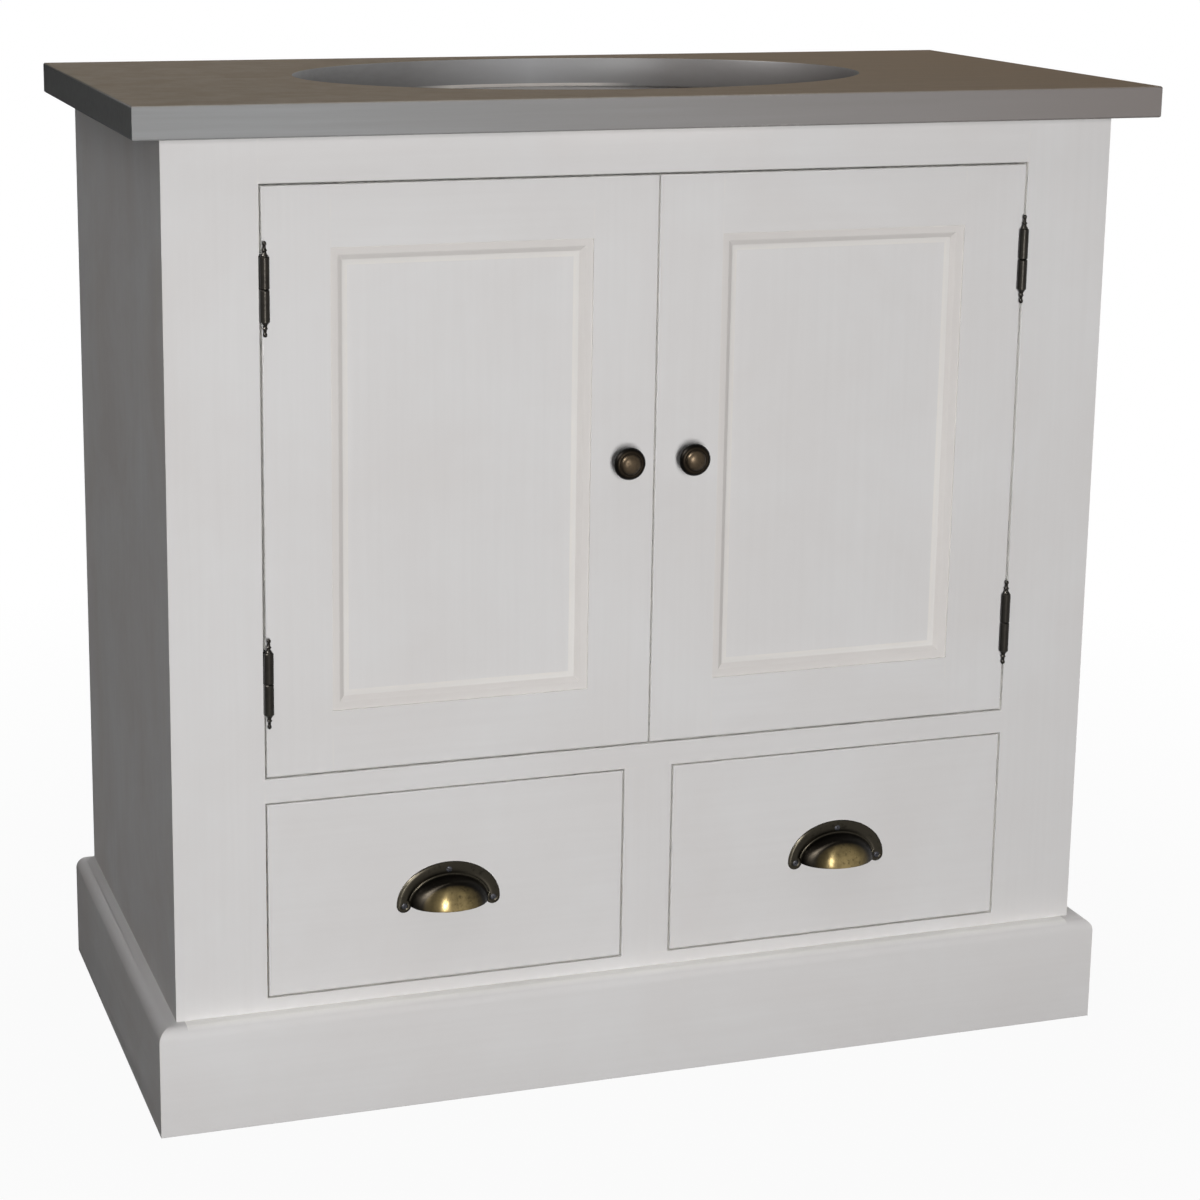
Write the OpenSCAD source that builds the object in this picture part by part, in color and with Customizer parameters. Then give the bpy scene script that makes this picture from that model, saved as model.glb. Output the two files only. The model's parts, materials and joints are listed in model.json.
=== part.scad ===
// Painted vanity unit: two inset panelled doors over two inset drawers, on a mitred plinth,
// under an overhanging worktop with an oval basin cut-out.
// X runs left to right, Y from the front to the wall and Z up. The origin is on the floor
// under the middle of the worktop. Every size is in millimetres.

/* [Overall] */
// Height from the floor to the top of the worktop
unit_h = 870; // [820:5:930]
// Width across the two side panels
body_w = 844; // [780:2:1000]
// Depth from the wall to the front of the face frame
body_d = 414; // [394:2:500]

/* [Worktop] */
// Thickness of the worktop
top_t = 27; // [20:1:40]
// Overhang of the worktop past each side panel
side_overhang = 28; // [24:1:50]
// Overhang of the worktop past the face frame
front_overhang = 36; // [30:1:60]
// Width of the chamfer along the front and side edges
top_arris = 1.2; // [0.6:0.2:3]
// Length of the oval basin cut-out, left to right
cutout_w = 524; // [400:2:560]
// Width of the oval basin cut-out, front to back
cutout_d = 350; // [280:2:356]
// How far the cut-out lies behind the middle of the worktop
cutout_back = 18; // [8:1:20]

/* [Boards] */
// Thickness of the side panels, floor, base, divider and rear rail
board_t = 18; // [16:1:22]
// Depth of the housings that the floor, base and divider slot into
housing = 6; // [3:1:8]
// Thickness of the plywood back
back_t = 6; // [4:1:9]
// Width of the rebate that the back's edges lie in
back_lap = 9; // [6:1:12]
// Height of the rail across the back, under the worktop
rear_rail_h = 70; // [50:5:120]
// Width of the opening for pipes in the back
service_w = 360; // [200:10:500]
// Height of the opening for pipes in the back
service_h = 260; // [150:10:320]
// Height of the pipe opening's lower edge above the floor
service_z = 400; // [340:10:430]
// Corner radius of the pipe opening
service_r = 30; // [10:5:60]

/* [Face frame] */
// Thickness of the face frame
frame_t = 20; // [18:1:25]
// Width of the outer stiles
stile_w = 79; // [60:1:95]
// Height of the rail above the doors
top_rail_h = 40; // [34:1:60]
// Height of the rail between doors and drawers
middle_rail_h = 21; // [19:1:30]
// Height of the whole bottom rail, part of it behind the plinth
bottom_rail_h = 40; // [30:1:60]
// Height of the bottom rail that shows above the plinth
bottom_rail_show = 11.5; // [6:0.5:20]
// Height of the drawer openings
drawer_opening_h = 175; // [150:1:210]
// Width of the upright between the drawers
mullion_w = 44; // [34:1:70]
// Length of the rails' tenons
tenon_l = 25; // [15:1:35]
// Thickness of the rails' tenons
tenon_t = 7; // [5:1:9]
// Set-back of each tenon from the edge of its rail
tenon_shoulder = 4; // [2:0.5:6]
// Length of the stub tenons on the upright between the drawers
stub_tenon_l = 8; // [5:1:10]

/* [Plinth] */
// Height of the plinth
plinth_h = 96; // [80:1:120]
// Thickness of the plinth boards
plinth_t = 18; // [14:1:22]
// Radius of the rounded upper edge
plinth_round = 10; // [4:1:13]
// Width of each glue block behind the plinth
plinth_block_w = 60; // [40:5:100]
// Distance between the glue blocks
plinth_block_pitch = 220; // [160:5:260]

/* [Doors] */
// Gap round the doors and drawer fronts
front_gap = 2; // [1.6:0.1:2.8]
// Thickness of the doors
door_t = 20; // [19:1:22]
// Width of the doors' stiles
door_stile_w = 57; // [48:1:70]
// Height of the doors' top rails
door_top_rail_h = 51; // [44:1:70]
// Height of the doors' bottom rails
door_bottom_rail_h = 53; // [44:1:80]
// Length of the door rails' tenons
door_tenon_l = 32; // [20:1:40]
// Set-back of those tenons from the ends of the stiles
door_haunch = 12; // [8:1:16]
// Thickness of the flat panels
panel_t = 8; // [6:1:9]
// Depth of the panel's face below the door's face
panel_recess = 7; // [6:0.5:8]
// Depth of the groove that holds the panel's edges
panel_groove = 9; // [6:1:11]
// Room for the panel to swell in its groove, at each edge
panel_play = 1.5; // [0.5:0.5:3]

/* [Panel moulding] */
// Flat band of the moulding, next to the door's frame
mould_flat = 3; // [1:0.5:5]
// Reach of the quarter round below that band
mould_round = 3.8; // [3:0.2:6]
// Width of the fillet at the foot of the quarter round
mould_fillet = 3.2; // [2:0.2:5]
// Width of the sloping toe that ends on the panel
mould_toe = 2; // [1:0.5:3]
// Height of the fillet above the panel
mould_fillet_h = 2.4; // [1.6:0.2:3.2]
// Depth of the moulding's band below the door's face
mould_drop = 0.8; // [0.4:0.1:1.4]

/* [Hinges] */
// Distance from each end of a door to the middle of its hinge
hinge_inset = 82.5; // [78:0.5:110]
// Length of the hinge barrels, and height of the leaves
barrel_l = 54; // [44:1:56]
// Radius of the hinge barrels
barrel_r = 4; // [3.4:0.1:4.2]
// Distance of the hinge axis in front of the door's face
hinge_proud = 4.6; // [4.5:0.1:6]
// Distance of that axis from the middle of the gap, towards the door
hinge_in = 2.3; // [0:0.1:2.5]
// Radius of the hinge pins
pin_r = 2; // [1.6:0.1:2.4]
// Running clearance between pin and door knuckle
pin_play = 0.06; // [0.03:0.01:0.1]
// Gap between the two knuckles and under the upper finial
knuckle_gap = 0.3; // [0.2:0.05:0.5]
// Chamfer on the ends of the knuckles
knuckle_chamfer = 0.7; // [0.3:0.1:1]
// Thickness of the hinge leaves
leaf_t = 1.5; // [1.4:0.1:1.8]
// Depth of the leaves from the door's face
leaf_d = 16; // [14:0.5:17]
// Depth of the leaf screws' line from the door's face
leaf_screw_in = 9; // [6:0.5:10]
// Gap between a closed hinge's leaves
leaf_gap = 0.4; // [0.2:0.1:0.6]
// Distance between the three screws of a leaf
leaf_screw_pitch = 19; // [14:1:21]
// Length of the turned finials
finial_l = 12; // [10:0.5:15]
// Radius of a finial's waist
finial_waist_r = 1.4; // [1.1:0.1:1.6]
// Radius of a finial's thin collar
finial_collar_r = 2.9; // [2.4:0.1:3.3]
// Height of the thin collar above a finial's foot
finial_collar_up = 4.6; // [3.4:0.2:5.2]
// Radius of the finial's bead
finial_bead_r = 2.2; // [1.9:0.1:2.6]

/* [Knobs] */
// Height of the knobs above the middle of the doors
knob_rise = 6.5; // [0:0.5:60]
// Radius of a knob's head
knob_r = 14; // [12:0.5:16]
// Projection of a knob from the door
knob_out = 26; // [22:1:29]
// Radius of a knob's foot
knob_foot_r = 6.4; // [5.8:0.2:8]
// Height of the straight rim round a knob's foot
knob_foot_h = 1.2; // [0.8:0.2:2]
// Radius of a knob's neck
knob_neck_r = 4.6; // [3.8:0.2:5.4]
// Height of the swelling curve below a knob's rim
knob_swell_h = 7; // [5:0.5:8]
// Size of the round on the rim of the knob's head
knob_rim = 4.2; // [3:0.2:5]
// Height of the knob's dome above its ring
knob_dome_h = 3.6; // [2.4:0.2:4.4]
// Depth of the groove between the ring and the dome
knob_groove = 0.6; // [0.4:0.1:1]
// Radius of the knob's bolt
bolt_r = 2; // [1.6:0.1:2.4]
// Length of the bolt inside the knob
bolt_in_knob = 9; // [6:0.5:12]
// Radius of the bolt's head
bolt_head_r = 4; // [3.4:0.2:4.8]
// Height of the bolt's head
bolt_head_h = 2.2; // [1.6:0.2:2.8]

/* [Drawers] */
// Thickness of the drawer fronts
drawer_front_t = 20; // [18:1:22]
// Thickness of the drawers' sides and backs
drawer_side_t = 12; // [10:1:14]
// Height of the drawers' sides
drawer_side_h = 138; // [110:1:150]
// Drop of a drawer's back below its sides
drawer_back_drop = 6; // [2:1:15]
// Thickness of the drawers' bottoms
drawer_bottom_t = 6; // [4:1:8]
// Height of the drawer bottom above the lower edge of the sides
drawer_bottom_up = 12; // [10:1:16]
// Depth of the grooves for the bottom and housings for the back
drawer_groove = 5; // [3:1:6]
// Space between a closed drawer and the back panel
drawer_end_space = 18; // [10:1:40]
// Clearance under the drawers' sides
drawer_run = 0.3; // [0.2:0.1:0.8]
// Clearance beside the drawers, at each guide
guide_gap = 0.8; // [0.5:0.1:1.5]
// Height of the guide strips
guide_h = 30; // [20:1:45]
// Width of the outer guide strips
guide_w = 22; // [16:1:34]
// Wood left in front of the dovetails
dovetail_lap = 6; // [4:0.5:8]
// Number of dovetails at each front corner
dovetails = 4; // [3:1:5]
// Width of a dovetail at its wide end
dovetail_w = 23; // [18:1:25]
// Taper of a dovetail on each flank
dovetail_taper = 2.4; // [1.6:0.2:3.2]
// Thickness of the drawer stops, front to back
stop_d = 14; // [10:1:20]
// Width of the drawer stops
stop_w = 32; // [20:1:45]
// Height of the drawer stops
stop_h = 7; // [6:0.5:8.5]
// Distance of each stop from the drawer's side
stop_in = 30; // [15:5:60]

/* [Cup pulls] */
// Half the width of a cup pull
pull_a = 46.5; // [40:0.5:52]
// Height of a cup pull above the middle of its feet
pull_b = 36; // [33:0.5:42]
// Width of the pull's flange
pull_flange_w = 13; // [10:0.5:14]
// Thickness of the pull's flange
pull_flange_t = 2.2; // [1.6:0.2:3]
// Projection of the cup
pull_out = 26; // [20:0.5:28]
// Thickness of the cup's wall
pull_wall = 1.6; // [1.2:0.1:2.2]
// Drop of the pull's middle below the middle of the drawer
pull_drop = 2; // [-5:0.5:8]

/* [Fixings] */
// Glue line and small-parts clearance between fitted pieces
fit = 0.1; // [0.05:0.05:0.2]
// Radius of the hinge screws
screw_r = 1.4; // [1.1:0.1:1.6]
// Radius of the hinge screws' heads
screw_head_r = 2.8; // [2.2:0.1:3.2]
// Height of the countersunk heads
screw_head_h = 1.3; // [1:0.1:1.4]
// Length of the hinge screws
screw_l = 14; // [10:1:18]
// Width and height of the cleats under the worktop
cleat = 20; // [16:1:28]
// Distance of the cleats' ends from the face frame and the rear rail
cleat_in = 20; // [5:5:60]
// Radius of the worktop screws
top_screw_r = 2; // [1.6:0.1:2.4]
// Radius of the worktop screws' heads
top_screw_head_r = 4; // [3.2:0.2:4.6]
// Length of the worktop screws inside the worktop
top_screw_in = 15; // [10:1:17]
// Number of worktop screws in each cleat
top_screws = 3; // [2:1:4]
// Width of the double magnetic catch
catch_w = 46; // [38:1:60]
// Depth of the catch, front to back
catch_d = 12; // [10:1:16]
// Height of the catch below the top rail's lower edge
catch_drop = 22; // [18:1:26]
// Height of the catch that bears on the rail
catch_up = 16; // [12:1:24]
// Gap between the catch and the door's strike plate
catch_gap = 0.3; // [0.2:0.1:0.5]
// Thickness of the strike plates
strike_t = 1; // [0.8:0.1:1.6]
// Width of the strike plates
strike_w = 14; // [10:1:17]
// Height of the strike plates
strike_h = 16; // [10:1:17]
// Distance of the strike plates' middle from the door's meeting edge
strike_in = 13; // [9:0.5:15]

/* [Hidden] */

// Colours of the paint, bare timber and metal
paint = [0.85, 0.84, 0.82];
top_grey = [0.50, 0.48, 0.45];
pine = [0.86, 0.72, 0.50];
plywood = [0.80, 0.69, 0.52];
antique_brass = [0.42, 0.34, 0.20];
dark_bronze = [0.16, 0.14, 0.12];
steel = [0.66, 0.66, 0.68];
catch_brown = [0.36, 0.25, 0.17];

// Smoothness of round shapes
$fn = 64;
// Straight steps in a quarter of a drawn outline
steps = 10;
// Length by which a cutter runs past the face that it opens
past = 1;

// Places across the unit
top_w = body_w + 2 * side_overhang;
top_d = body_d + front_overhang;
side_x = body_w / 2;
inner_x = side_x - board_t;
open_x = side_x - stile_w;
divider_x = board_t / 2;
drawer_x0 = mullion_w / 2 + front_gap;
drawer_x1 = open_x - front_gap;
drawer_in0 = drawer_x0 + drawer_side_t;
drawer_in1 = drawer_x1 - drawer_side_t;
drawer_mid = (drawer_x0 + drawer_x1) / 2;

// Places from front to back
back_y = top_d / 2;
front_y = back_y - body_d;
frame_y = front_y + frame_t;
back_in_y = back_y - back_t;
rear_rail_y = back_in_y - board_t;
drawer_end_y = back_in_y - drawer_end_space;
drawer_in_y = front_y + drawer_front_t;

// Places above the floor
case_z = unit_h - top_t;
drawer_z0 = plinth_h + bottom_rail_show;
drawer_z1 = drawer_z0 + drawer_opening_h;
door_z0 = drawer_z1 + middle_rail_h;
door_z1 = case_z - top_rail_h;
floor_z = door_z0 - board_t;
base_z = drawer_z0 - board_t;
rear_rail_z = case_z - rear_rail_h;
side_z0 = drawer_z0 + drawer_run;
side_z1 = side_z0 + drawer_side_h;
front_z0 = drawer_z0 + front_gap;
front_z1 = drawer_z1 - front_gap;
bottom_z = side_z0 + drawer_bottom_up;

// Places on the left door
leaf_x0 = -open_x + front_gap;
leaf_x1 = -front_gap / 2;
leaf_z0 = door_z0 + front_gap;
leaf_z1 = door_z1 - front_gap;
panel_x0 = leaf_x0 + door_stile_w;
panel_x1 = leaf_x1 - door_stile_w;
panel_z0 = leaf_z0 + door_bottom_rail_h;
panel_z1 = leaf_z1 - door_top_rail_h;
panel_y = front_y + panel_recess;
mould_w = mould_flat + mould_round + mould_fillet + mould_toe;
mould_h = panel_recess - mould_drop;
knob_x = leaf_x1 - door_stile_w / 2;
knob_z = (leaf_z0 + leaf_z1) / 2 + knob_rise;
strike_x = leaf_x1 - strike_in;
strike_z = leaf_z1 - strike_h / 2 - front_gap;

// Places on the hinges
hinge_x = -open_x + front_gap / 2 + hinge_in;
hinge_y = front_y - hinge_proud;
hinge_zs = [leaf_z0 + hinge_inset, leaf_z1 - hinge_inset];
leaf_recess = leaf_t + leaf_gap / 2 - front_gap / 2;
leaf_screw_y = front_y + leaf_screw_in;

// Places on the drawers and cup pulls
pull_foot_r = pull_flange_w / 2;
pull_z = (front_z0 + front_z1) / 2 - pull_drop - (pull_b - pull_foot_r) / 2;
pull_in_a = pull_a - pull_flange_w;
pull_in_b = pull_b - pull_flange_w;
dovetail_l = drawer_front_t - dovetail_lap;
dovetail_pitch = (side_z1 - front_z0) / dovetails;

// Outline helpers

// Points on part of an ellipse, from one angle to another
function arc(centre, rx, ry, a0, a1, n) = [
    for (i = [0:n])
        let (a = a0 + (a1 - a0) * i / n)
        [centre[0] + rx * cos(a), centre[1] + ry * sin(a)]
];

// Solid helpers

// A box between two opposite corners
module block(lo, hi) {
    translate(lo) cube(hi - lo);
}

// An outline in X and Z, drawn out from y0 to y1
module along_y(y0, y1) {
    translate([0, y1, 0]) rotate([90, 0, 0]) linear_extrude(height = y1 - y0) children();
}

// An outline in Y and Z, drawn out from x0 to x1
module along_x(x0, x1) {
    translate([x0, 0, 0]) rotate([90, 0, 90]) linear_extrude(height = x1 - x0) children();
}

// The same piece in its place on the right of the unit
module on_right() {
    mirror([1, 0, 0]) children();
}

// Fixings

// A countersunk screw whose head lies at the origin and whose point, two radii long, is up +Z.
// With room, it is the hole that the screw goes in.
module screw(r, head_r, head_h, length, room = 0) {
    rotate_extrude() polygon([
        [0, -room], [head_r + 2 * room, -room], [r + room, head_h], [r + room, length - 2 * r],
        [0, length + room]
    ]);
}

// Three screws of each hinge on the left, pointing along way, which is 1 or -1
module leaf_screws(way, room = 0) {
    for (z = hinge_zs, i = [-1:1])
        translate([hinge_x - hinge_in + way * leaf_gap / 2, leaf_screw_y, z + i * leaf_screw_pitch])
            rotate([0, way * 90, 0])
                screw(screw_r, screw_head_r, screw_head_h, screw_l, room);
}

// The two screws that hold the catch to the back of the top rail
module catch_screws(room = 0) {
    for (side = [-1, 1])
        translate([side * catch_w / 4, frame_y + catch_d, door_z1 + catch_up / 2])
            rotate([90, 0, 0])
                screw(screw_r, screw_head_r, screw_head_h, catch_d + frame_t / 2, room);
}

// The worktop screws, up through both cleats
module up_screws(room = 0) {
    y0 = frame_y + cleat_in;
    y1 = rear_rail_y - cleat_in;
    pitch = (y1 - y0) / top_screws;
    for (side = [-1, 1], i = [0:top_screws - 1])
        translate([side * (inner_x - cleat / 2), y0 + (i + 0.5) * pitch, case_z - cleat])
            screw(top_screw_r, top_screw_head_r, top_screw_head_r - top_screw_r, cleat + top_screw_in, room);
}

// The bolt of the left door's knob
module knob_bolt(room = 0) {
    translate([knob_x, front_y + door_t, knob_z]) rotate([90, 0, 0]) {
        cylinder(r = bolt_r + room, h = door_t + bolt_in_knob + room);
        if (room == 0) translate([0, 0, -bolt_head_h]) cylinder(r = bolt_head_r, h = bolt_head_h);
    }
}

// The screw of the left door's strike plate
module strike_screw(room = 0) {
    translate([strike_x, front_y + door_t + strike_t, strike_z])
        rotate([90, 0, 0])
            screw(screw_r, screw_head_r, strike_t, screw_l, room);
}

// Worktop

module worktop() {
    color(top_grey)
    difference() {
        intersection() {
            along_y(-top_d / 2, back_y) chamfered(top_w, [top_arris, top_arris]);
            along_x(-top_w / 2, top_w / 2) chamfered(top_d, [top_arris, 0]);
        }
        translate([0, cutout_back, case_z - past])
            scale([1, cutout_d / cutout_w, 1])
                cylinder(r = cutout_w / 2, h = top_t + 2 * past, $fn = 128);
        up_screws(fit);
    }
}

// The worktop's section, w wide, with a chamfer of its own at each end
module chamfered(w, cut) {
    polygon([
        [-w / 2 + cut[0], case_z], [w / 2 - cut[1], case_z],
        [w / 2, case_z + cut[1]], [w / 2, unit_h - cut[1]],
        [w / 2 - cut[1], unit_h], [-w / 2 + cut[0], unit_h],
        [-w / 2, unit_h - cut[0]], [-w / 2, case_z + cut[0]]
    ]);
}

// Carcass

module left_side_panel() {
    color(paint)
    difference() {
        block([-side_x, frame_y, 0], [-inner_x, back_y, case_z]);
        // Rebate for the back
        block([-inner_x - back_lap - fit, back_in_y, base_z - fit],
              [-inner_x + past, back_y + past, case_z + past]);
        // Housings for the floor and the base
        for (z = [floor_z, base_z])
            block([-inner_x - housing - fit, frame_y - past, z], [-inner_x + past, back_in_y, z + board_t]);
    }
}

module right_side_panel() {
    on_right() left_side_panel();
}

module back_panel() {
    color(plywood)
    difference() {
        block([-inner_x - back_lap, back_in_y, base_z], [inner_x + back_lap, back_y, case_z]);
        along_y(back_in_y - past, back_y + past) service_outline();
    }
}

// The rounded opening for pipes
module service_outline() {
    x = service_w / 2 - service_r;
    z0 = service_z + service_r;
    z1 = service_z + service_h - service_r;
    polygon(concat(
        arc([x, z0], service_r, service_r, -90, 0, steps),
        arc([x, z1], service_r, service_r, 0, 90, steps),
        arc([-x, z1], service_r, service_r, 90, 180, steps),
        arc([-x, z0], service_r, service_r, 180, 270, steps)
    ));
}

module rear_top_rail() {
    color(paint) block([-inner_x, rear_rail_y, rear_rail_z], [inner_x, back_in_y, case_z]);
}

module cupboard_floor() {
    color(paint)
    difference() {
        block([-inner_x - housing, frame_y, floor_z], [inner_x + housing, back_in_y, door_z0]);
        divider_housing(floor_z - past, floor_z + housing + fit);
    }
}

module base_board() {
    color(paint)
    difference() {
        block([-inner_x - housing, frame_y, base_z], [inner_x + housing, back_in_y, drawer_z0]);
        divider_housing(drawer_z0 - housing - fit, drawer_z0 + past);
    }
}

// The slot for the divider in the board above or below it
module divider_housing(z0, z1) {
    block([-divider_x, frame_y - past, z0], [divider_x, back_in_y + past, z1]);
}

module drawer_divider() {
    color(paint)
        block([-divider_x, frame_y, drawer_z0 - housing], [divider_x, back_in_y, floor_z + housing]);
}

// Face frame

// A tenon's or mortise's thickness lies in the middle of the face frame
frame_tenon_y0 = front_y + (frame_t - tenon_t) / 2;
frame_tenon_y1 = frame_tenon_y0 + tenon_t;

// Both end tenons of a rail between z0 and z1, as one bar right through the rail.
// With room, the mortises for them.
module rail_tenons(z0, z1, room = 0) {
    reach = open_x + tenon_l + room;
    block([-reach, frame_tenon_y0 - room, z0 + tenon_shoulder - room],
          [reach, frame_tenon_y1 + room, z1 - tenon_shoulder + room]);
}

// A rail between the stiles with a tenon at each end
module frame_rail(z0, z1) {
    block([-open_x, front_y, z0], [open_x, frame_y, z1]);
    rail_tenons(z0, z1);
}

module left_frame_stile() {
    color(paint)
    difference() {
        block([-side_x, front_y, 0], [-open_x, frame_y, case_z]);
        rail_tenons(door_z1, case_z, fit);
        rail_tenons(drawer_z1, door_z0, fit);
        rail_tenons(drawer_z0 - bottom_rail_h, drawer_z0, fit);
        // Recess for each hinge leaf
        for (z = hinge_zs)
            block([-open_x - leaf_recess, front_y - past, z - barrel_l / 2 - fit],
                  [-open_x + past, front_y + leaf_d + fit, z + barrel_l / 2 + fit]);
        leaf_screws(-1, fit);
    }
}

module right_frame_stile() {
    on_right() left_frame_stile();
}

module top_frame_rail() {
    color(paint)
    difference() {
        frame_rail(door_z1, case_z);
        catch_screws(fit);
    }
}

module middle_frame_rail() {
    color(paint)
    difference() {
        frame_rail(drawer_z1, door_z0);
        mullion_tenon(drawer_z1 - past, drawer_z1 + stub_tenon_l + fit, fit);
    }
}

module bottom_frame_rail() {
    color(paint)
    difference() {
        frame_rail(drawer_z0 - bottom_rail_h, drawer_z0);
        mullion_tenon(drawer_z0 - stub_tenon_l - fit, drawer_z0 + past, fit);
    }
}

// A stub tenon of the upright between the drawers
module mullion_tenon(z0, z1, room = 0) {
    block([-mullion_w / 2 + tenon_shoulder - room, frame_tenon_y0 - room, z0],
          [mullion_w / 2 - tenon_shoulder + room, frame_tenon_y1 + room, z1]);
}

module drawer_mullion() {
    color(paint) {
        block([-mullion_w / 2, front_y, drawer_z0], [mullion_w / 2, frame_y, drawer_z1]);
        mullion_tenon(drawer_z0 - stub_tenon_l, drawer_z1 + stub_tenon_l);
    }
}

// Plinth

// The plinth's section: u is the distance out from the cabinet, v the height
function plinth_section() = concat(
    [[0, 0], [plinth_t, 0]],
    arc([plinth_t - plinth_round, plinth_h - plinth_round], plinth_round, plinth_round, 0, 90, steps),
    [[0, plinth_h]]
);

module plinth_front() {
    x = side_x + plinth_t;
    color(paint)
    intersection() {
        along_x(-x, x) polygon([for (p = plinth_section()) [front_y - p[0], p[1]]]);
        linear_extrude(height = plinth_h)
            polygon([
                [-x, front_y - plinth_t], [x, front_y - plinth_t], [side_x, front_y], [-side_x, front_y]
            ]);
    }
}

module plinth_left() {
    y = front_y - plinth_t;
    color(paint)
    intersection() {
        along_y(y, back_y) polygon([for (p = plinth_section()) [-side_x - p[0], p[1]]]);
        linear_extrude(height = plinth_h)
            polygon([
                [-side_x - plinth_t, y], [-side_x, front_y], [-side_x, back_y], [-side_x - plinth_t, back_y]
            ]);
    }
}

module plinth_right() {
    on_right() plinth_left();
}

// Glue blocks in the corner between the plinth and the underside of the bottom rail
module plinth_blocks() {
    color(pine)
    for (i = [-1:1])
        translate([i * plinth_block_pitch, 0, 0])
            block([-plinth_block_w / 2, front_y, 0],
                  [plinth_block_w / 2, frame_y, drawer_z0 - bottom_rail_h]);
}

// Inside the carcass

module top_cleats() {
    color(pine)
    difference() {
        for (side = [0, 1]) mirror([side, 0, 0])
            block([-inner_x, frame_y + cleat_in, case_z - cleat],
                  [-inner_x + cleat, rear_rail_y - cleat_in, case_z]);
        up_screws(fit);
    }
}

module worktop_screws() {
    color(steel) up_screws();
}

// Strips on the base board that keep each drawer straight
module drawer_guides() {
    color(pine)
    for (side = [0, 1]) mirror([side, 0, 0]) {
        block([drawer_x1 + guide_gap, frame_y, drawer_z0],
              [drawer_x1 + guide_gap + guide_w, drawer_end_y, drawer_z0 + guide_h]);
        block([divider_x, frame_y, drawer_z0],
              [drawer_x0 - guide_gap, drawer_end_y, drawer_z0 + guide_h]);
    }
}

// Blocks on the base board that the closed drawer fronts come to rest against
module drawer_stops() {
    y0 = drawer_in_y + drawer_run;
    color(pine)
    for (side = [0, 1], x = [drawer_in0 + stop_in, drawer_in1 - stop_in - stop_w])
        mirror([side, 0, 0])
            block([x, y0, drawer_z0], [x + stop_w, y0 + stop_d, drawer_z0 + stop_h]);
}

// Double magnetic catch on the back of the top rail
module door_catch() {
    y0 = front_y + door_t + strike_t + catch_gap;
    color(catch_brown)
    difference() {
        union() {
            block([-catch_w / 2, frame_y, door_z1], [catch_w / 2, frame_y + catch_d, door_z1 + catch_up]);
            block([-catch_w / 2, y0, door_z1 - catch_drop], [catch_w / 2, frame_y + catch_d, door_z1 + catch_up]);
        }
        catch_screws(fit);
    }
}

module cabinet_screws() {
    color(steel) {
        catch_screws();
        for (side = [0, 1]) mirror([side, 0, 0]) leaf_screws(-1);
    }
}

// Hinges

// A knuckle from z0 to z1 about the hinge's axis, still without its bore
module knuckle(z0, z1) {
    c = knuckle_chamfer;
    rotate_extrude() polygon([
        [0, z0], [barrel_r - c, z0], [barrel_r, z0 + c], [barrel_r, z1 - c], [barrel_r - c, z1], [0, z1]
    ]);
}

// One leaf on its own knuckle, about the hinge's axis. The leaf lies in the gap beside the
// axis, on the side of way, and its knuckle is the upper one where up is 1 and the lower one
// where up is -1.
module hinge_leaf(way, up, bore_r) {
    x0 = (way > 0 ? leaf_gap / 2 : -leaf_gap / 2 - leaf_t) - hinge_in;
    z_in = knuckle_gap / 2;
    z_out = barrel_l / 2;
    z0 = up > 0 ? z_in : -z_out;
    z1 = up > 0 ? z_out : -z_in;
    difference() {
        union() {
            knuckle(z0, z1);
            block([x0, 0, z0], [x0 + leaf_t, hinge_proud + leaf_d, z1]);
            block([x0, hinge_proud, -z_out], [x0 + leaf_t, hinge_proud + leaf_d, z_out]);
        }
        translate([0, 0, z0 - past]) cylinder(r = bore_r, h = z1 - z0 + 2 * past);
    }
}

module left_frame_leaves() {
    difference() {
        for (z = hinge_zs) translate([hinge_x, hinge_y, z]) hinge_leaf(-1, -1, pin_r + pin_play / 2);
        leaf_screws(-1, fit);
    }
}

module frame_hinge_leaves() {
    color(dark_bronze) {
        left_frame_leaves();
        on_right() left_frame_leaves();
    }
}

// A finial's outline from its foot up, as radius and height
function finial() = let (
    collar_z = finial_collar_up,
    half = finial_waist_r / 2,
    neck_angle = acos(finial_waist_r / finial_bead_r)
) concat(
    [[finial_collar_r, 0], [finial_waist_r, finial_waist_r]],
    [[finial_waist_r, collar_z - half]],
    [[finial_collar_r, collar_z], [finial_collar_r, collar_z + half]],
    [[finial_waist_r, collar_z + 2 * half]],
    arc([0, finial_l - finial_bead_r], finial_bead_r, finial_bead_r, -neck_angle, 90, steps)
);

// A pin with its two finials: they clear the door's knuckle and meet the frame's
module hinge_pin() {
    z1 = barrel_l / 2 + knuckle_gap;
    z0 = barrel_l / 2;
    up = finial();
    rotate_extrude() polygon(concat(
        [for (i = [len(up) - 1:-1:0]) [up[i][0], -z0 - up[i][1]]],
        [[pin_r, -z0], [pin_r, z1]],
        [for (p = up) [p[0], z1 + p[1]]]
    ));
}

module hinge_pins() {
    color(dark_bronze)
    for (side = [0, 1], z = hinge_zs)
        mirror([side, 0, 0]) translate([hinge_x, hinge_y, z]) hinge_pin();
}

// Left door; the right door is its mirror image

// The slot that the panel's edge and the rails' tenons share
door_groove_y0 = panel_y - fit;
door_groove_y1 = panel_y + panel_t + fit;

// Heights of the tenons of the door's two rails
door_tenon_zs = [
    [leaf_z0 + door_haunch, panel_z0 - panel_groove],
    [panel_z1 + panel_groove, leaf_z1 - door_haunch]
];

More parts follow.
